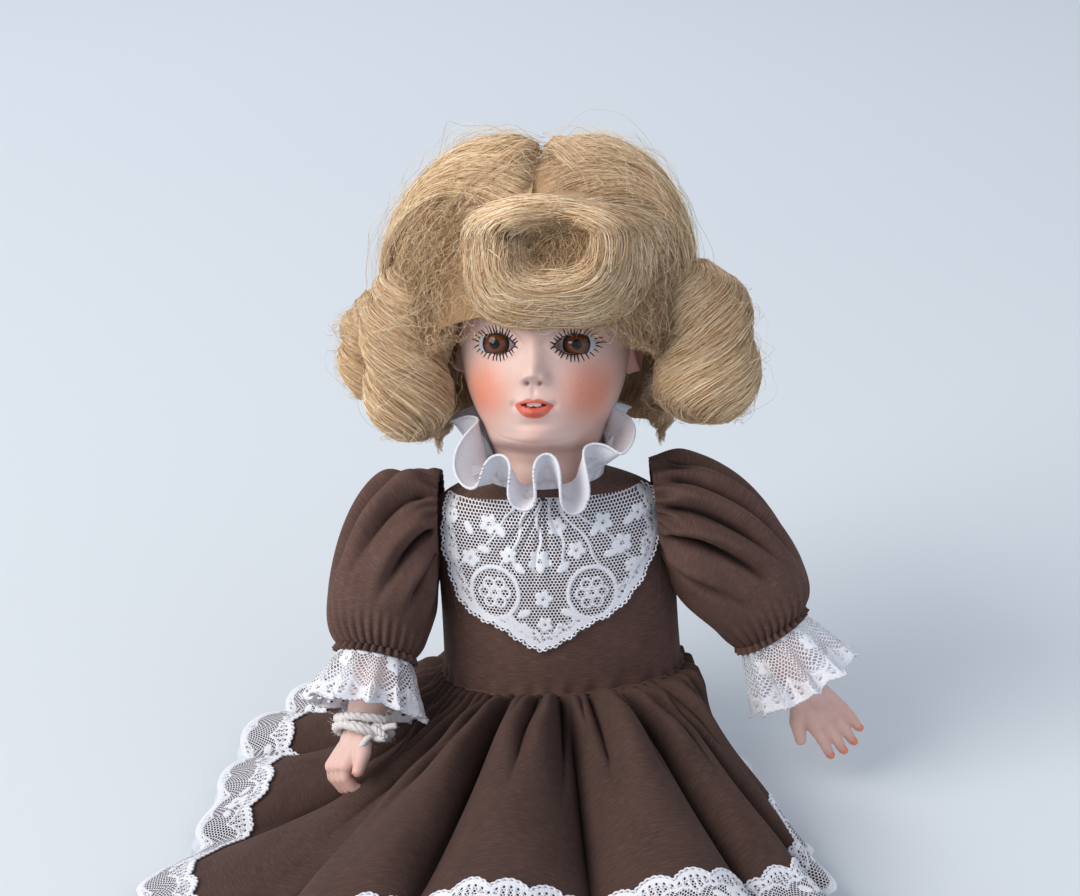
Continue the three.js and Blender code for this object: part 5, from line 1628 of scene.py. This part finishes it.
def paint_values(obj, matrix, blush):
    """Gives a melted piece the bisque's values; blush is a function of points in its own frame."""
    co = np.empty(len(obj.data.vertices) * 3, np.float32)
    obj.data.vertices.foreach_get("co", co)
    local = placed(np.linalg.inv(np.array(matrix)), co.reshape(-1, 3) / MM)
    for key in ("blush", "lip", "shadow"):
        attribute = obj.data.attributes.new(key, "FLOAT", "POINT")
        value = blush(local) if key == "blush" else np.zeros(len(local))
        attribute.data.foreach_set("value", value.astype(np.float32))


# For each finger from the little one: (place across the palm, length, how far the tip spreads)
FINGERS = {
    1: [(-6.2, 10.5, -1.6), (-2.2, 13.2, -0.8), (1.9, 13.6, 0.0), (5.8, 12.0, 0.9)],
    -1: [(-5.6, 7.5, -0.8), (-2.0, 9, -0.3), (1.8, 9, 0.2), (5.4, 8.5, 0.6)],
}
# How far the thumb's side turns ahead, how the fingers curl, how the hand leans out at the wrist
HAND_TURN, HAND_CURL, HAND_LEAN = {1: 22, -1: 60}, {1: 2.5, -1: 9.5}, {1: 0.12, -1: 0.42}


def build_arm(side):
    """Arm and hand in the spread frame; across runs from the little finger to the thumb."""
    name = SIDE_NAME[side]
    c, s = math.cos(math.radians(HAND_TURN[side])), math.sin(math.radians(HAND_TURN[side]))
    heel = WRIST + (2 if side > 0 else 0)

    def at(across, deep, down):
        lean = side * HAND_LEAN[side] * max(0, down - heel)
        return (side * (-c * across - s * deep) + lean, -s * across + c * deep, -down)

    bars = [
        capsule(at(0, 0, 0), at(0, 0, 40), 9.2, 8.2),
        capsule(at(0, 0, 40), at(0, 0, 60), 8.2, 7.6),
        capsule(at(0, 0, 58), at(0, 0, WRIST), 7.4, 5.7),
        capsule(at(0, 0, WRIST - 2), at(0, 0.3, heel + 5), 5.6, 5.2),
    ]
    for across in (-5.4, -1.9, 1.9, 5.2):
        bars.append(capsule(at(across * 0.6, 0.2, heel + 3), at(across, 0.4, heel + 13), 3.8, 3.1))
    nails = []
    for across, length, spread in FINGERS[side]:
        curl = HAND_CURL[side]
        knuckle = np.array([across, 0.2, heel + 13])
        first = knuckle + (spread * 0.45, curl * 0.25, length * 0.42)
        middle = first + (spread * 0.3, curl * 0.45, length * 0.3)
        tip = middle + (spread * 0.25, curl * 0.6, length * (0.26 if side > 0 else 0.05))
        bars.append(capsule(at(*knuckle), at(*first), 2.45, 2.1))
        bars.append(capsule(at(*first), at(*middle), 2.1, 1.9))
        bars.append(capsule(at(*middle), at(*tip), 1.9, 1.6))
        nails.append((middle + (tip - middle) * 0.95, tip - middle))
    base, joint = np.array([5.0, 0.4, heel + 4]), np.array([9.2, 1.6, heel + 8.5])
    thumb = joint + (2.6, 1.2, 6.0)
    bars.append(capsule(at(*base), at(*joint), 3.4, 2.8))
    bars.append(capsule(at(*joint), at(*thumb), 2.7, 2.0))
    nails.append((joint + (thumb - joint) * 0.95, thumb - joint))
    arm = melted(f"bisque_arm_{name}", bars, SPREAD[side], BISQUE, f"{name}_arm", voxel=0.42, smoothing=5)

    def blush(p):
        down = -p[:, 2]
        return 0.22 * smooth(down, WRIST + 2, WRIST + 18) + 0.35 * smooth(down, heel + 21, heel + 27)

    paint_values(arm, SPREAD[side], blush)
    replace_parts(arm, f"arm_{name}")
    for k, (place, heading) in enumerate(nails):
        build_nail(f"nail_{name}_{k + 1}", place, unit(heading), at, side)


def build_nail(name, place, heading, at, side):
    """A small painted nail on the back of the finger."""
    back = unit(np.array([0, -1.0, 0]) + heading * heading[1])
    across = np.cross(heading, back)
    u, v = np.meshgrid(np.linspace(-1, 1, 9), np.linspace(-1, 1, 11))
    wide = 1.15 * u * np.sqrt(1 - 0.45 * v**2)
    rise = 1.66 - 0.45 * u**2 - 0.25 * v**2
    reach = place + back * rise[..., None] + across * wide[..., None] + heading * (1.3 * v[..., None])
    points = np.array([at(*p) for p in reach.reshape(-1, 3)])
    nail = make(name, points, grid(11, 9), SPREAD[side], NAIL, f"{SIDE_NAME[side]}_arm", slot="bisque")
    thick(nail, 0.35)


def build_wrist_yarn():
    """A fluffy yarn wound three times round the right wrist and knotted, its two ends cut short."""
    turnings = np.linspace(0, 2 * math.pi * 3, 260)
    radius = 8.6 + 0.7 * np.sin(turnings * 2.3)
    z = -(WRIST - 1) + 2.3 * np.cos(turnings / 3) + 0.6 * np.sin(turnings * 1.7)
    loop = points_at(radius * np.sin(turnings), -radius * np.cos(turnings), z)
    knot_at = np.array([6.5, -6.0, -(WRIST + 0.5)])
    s = np.linspace(0, 2 * math.pi, 60)
    knot = knot_at + points_at(1.9 * np.sin(2 * s), 1.5 * np.cos(s) - 1.0, 1.9 * np.sin(s))
    ends = [
        line_through([knot_at, knot_at + (-3, -2, -2), knot_at + (-5, -2.5, -6)], 30),
        line_through([knot_at, knot_at + (2, -2.5, 2), knot_at + (5, -3, 3)], 30),
    ]
    pieces = []
    for k, (path, radius) in enumerate(((loop, 1.5), (knot, 1.25), (ends[0], 1.1), (ends[1], 1.1))):
        plies = []
        run = np.linspace(0, len(path) * 0.55, len(path))
        along = unit(np.gradient(path, axis=0))
        first = unit(np.cross(along, (0.3, 0.2, 1)))
        second = np.cross(along, first)
        for ply in range(3):
            phase = run + ply * 2 * math.pi / 3
            twist = np.cos(phase)[:, None] * first + np.sin(phase)[:, None] * second
            plies.append(path + twist * radius * 0.45)
        points, faces = tubes(np.array(plies), radius * 0.58, 7)
        pieces.append(make(f"yarn_{k + 1}", points, faces, SPREAD[-1], YARN, "right_arm", slot="yarn"))
    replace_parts(pieces[0], "wrist_yarn")
    rng = np.random.default_rng(12)
    count = 700
    pick = rng.integers(2, len(loop) - 2, count)
    base = loop[pick] + rng.normal(0, 0.7, (count, 3))
    heading = unit(rng.normal(0, 1, (count, 3)))
    bend = rng.normal(0, 1, (count, 3))
    t = np.linspace(0, 1, 6)[None, :, None]
    length = rng.uniform(1, 2.8, (count, 1, 1))
    fuzz = base[:, None] + heading[:, None] * t * length + bend[:, None] * t**2 * 0.8
    points, faces = tubes(fuzz, 0.045, 3)
    make("yarn_fuzz", points, faces, SPREAD[-1], YARN, "right_arm", slot="yarn")


# ---- legs ------------------------------------------------------------------------------------------

LEG_LEVELS = [
    (-12.5, 5, 5), (-10, 9, 9), (0, 13.2, 13.2), (16, 13, 13), (42, 12, 12), (56, 10.8, 11.2), (68, 10, 10.2),
    (94, 10, 10.2), (106, 9.2, 9.4), (118, 7.6, 7.6), (132, 6.6, 6.8),
]


def build_leg(side):
    name = SIDE_NAME[side]
    bars = []
    for (a, wide_a, _), (b, wide_b, _) in zip(LEG_LEVELS[1:-1], LEG_LEVELS[2:]):
        bars.append(capsule((0, 0, -a), (0, 0, -b), wide_a, wide_b))
    bars.append(capsule((0, 0, -130), (0, -1, -(SOLE - 8)), 6.4, 6.4))
    bars.append(capsule((0, -1, -(SOLE - 7)), (0, -12, -(SOLE - 5.4)), 6.6, 5.2))
    leg = melted(f"bisque_leg_{name}", bars, LEG[side], BISQUE, f"{name}_leg", voxel=0.8, smoothing=8)
    paint_values(leg, LEG[side], lambda p: 0.45 * bump((p[:, 0], 7), (p[:, 1] + 9, 5), (p[:, 2] + 62, 8)))
    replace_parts(leg, f"leg_{name}")
    build_stocking(side)
    build_shoe(side)


def build_stocking(side):
    """A short ribbed sock with a turned-down, lace-edged top."""
    name = SIDE_NAME[side]
    rows, columns = 60, 220
    t, angle = tube_places(rows, columns)
    down = 100 + 42 * t
    wide = curve(LEG_LEVELS, np.minimum(down, 132))[0] + 0.75
    ribs = 0.16 * np.cos(44 * angle) + 0.35 * ripple(t * 2.1 + angle / 19, 6) * smooth(t, 0.4, 0.9)
    r = wide + ribs
    points = points_at(r * np.sin(angle), -r * np.cos(angle) - 1.0 * smooth(t, 0.6, 1), -down)
    sock = make(f"sock_{name}", points[::-1], grid(rows, columns, True), LEG[side], BATISTE, f"{name}_leg",
                uv=np.stack([angle * 9 + 0 * t, 42 * t + 0 * angle], -1)[::-1], slot="batiste")
    thick(sock, 0.4)
    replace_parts(sock, f"stocking_{name}")
    turned = np.linspace(0, 1, 16)[:, None]
    flare = wide[0] + 0.6 + 1.6 * np.sin(math.pi * turned * 0.6) + 0.5 * turned * np.sin(22 * angle)
    edge = points_at(flare * np.sin(angle), -flare * np.cos(angle), -(99.6 + 7.5 * turned))
    make(f"sock_frill_{name}", edge[::-1], grid(16, columns, True), LEG[side], LACE_FINE, f"{name}_leg",
         uv=np.stack([angle * 10 + 0 * turned, 8 * turned + 0 * angle], -1)[::-1],
         values={"solid": (smooth(turned, 0.8, 0.9) + 0 * angle)[::-1]}, slot="lace")


def build_shoe(side):
    """A strap shoe: stitched upper, welt, leather sole and heel, brass buckle."""
    name = SIDE_NAME[side]
    rows, columns = 36, 160
    t, angle = tube_places(rows, columns)
    ahead = np.cos(angle)
    wide = 8.6 - 0.9 * (ahead < 0) * ahead**2
    middle = -6.0
    sole_x, sole_y = np.sin(angle) * wide, middle - ahead * 16.2
    rim_x, rim_y = np.sin(angle) * 6.9, 0.2 - ahead * np.where(ahead > 0, 8.5, 8.4)
    sole_z = -(SOLE + 0.6) + 0 * angle
    rim_z = -(SOLE - 8.5 - 2.5 * smooth(ahead, 0.4, -0.9))
    puff = 1.5 * np.sin(math.pi * t) ** 0.8
    rise = np.sin(t * math.pi / 2) ** 0.9
    draw = 1 - np.cos(t * math.pi / 2) ** 1.3
    x = sole_x + (rim_x - sole_x) * draw + np.sin(angle) * puff * 0.5
    y = sole_y + (rim_y - sole_y) * draw - ahead * puff * 0.5
    z = sole_z + (rim_z - sole_z) * rise
    upper = make(f"shoe_upper_{name}", points_at(x, y, z), grid(rows, columns, True), LEG[side], LEATHER,
                 f"{name}_leg", slot="leather")
    thick(upper, 0.7)
    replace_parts(upper, f"shoe_{name}")
    for part, low, high, grow, finish in (
        ("welt", -(SOLE + 1.2), -(SOLE + 0.2), 0.9, LEATHER),
        ("sole", -(SOLE + 2.2), -(SOLE + 1.2), 0.5, SOLE_LEATHER),
    ):
        r = np.array([0.0, 0.5, 1.0, 1.0, 0.5, 0.0])[:, None]
        level = np.array([low, low, low, high, high, high])[:, None]
        px, py = (np.sin(angle) * (wide + grow)) * r, middle - ahead * (16.2 + grow) * r
        make(f"shoe_{part}_{name}", points_at(px, py, level + 0 * angle), grid(6, columns, True), LEG[side],
             finish, f"{name}_leg", slot="leather")
    s = np.linspace(-1, 1, 60)
    arch_height = -(SOLE - 11.5) - 2.5 * np.abs(s) ** 2
    arch = points_at(7.6 * np.sin(s * 1.75), -7.9 * np.cos(s * 1.75) - 0.4, arch_height)
    ribbon = np.stack([arch + (0, 0.3, 1.3), arch + (0, -0.3, -1.3)])
    strap = make(f"shoe_band_{name}", ribbon, grid(2, 60), LEG[side], LEATHER, f"{name}_leg", slot="leather")
    thick(strap, 0.8)
    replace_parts(strap, f"shoe_strap_{name}")
    square = [(-1.5, -1.7), (1.5, -1.7), (1.5, 1.7), (-1.5, 1.7), (-1.5, -1.7)]
    frame_line = np.array([(side * 7.9, -2.2 + a, -(SOLE - 10.2) + b) for a, b in square])
    path = np.concatenate([np.linspace(p, q, 8) for p, q in zip(frame_line[:-1], frame_line[1:])])
    points, faces = tubes(path[None], 0.32, 6)
    make(f"buckle_{name}", points, faces, LEG[side], BUCKLE, f"{name}_leg", slot="leather")


# ---- the whole -------------------------------------------------------------------------------------


def finish_cad_nodes():
    """The CAD pieces that stay get their finishes, told by the record's material slots."""
    named = {}
    for part in frame["record"].get("subparts", []):
        named[part["node"]] = part["material_slot"]
    for node, obj in frame["nodes"].items():
        if obj.hide_render:
            continue
        finish = CAD_FINISH[named.get(node, "composition")]
        obj.data.materials.clear()
        obj.data.materials.append(finish)


build_studio()
build_head()
for side in (-1, 1):
    build_ear(side)
    build_eye(side)
build_lashes()
build_brows()
build_teeth()
build_hair()
build_bodice()
build_bib()
build_collar()
build_skirt()
for side in (-1, 1):
    build_sleeve(side)
    build_cuff(side)
    build_arm(side)
    build_leg(side)
build_wrist_yarn()
finish_cad_nodes()
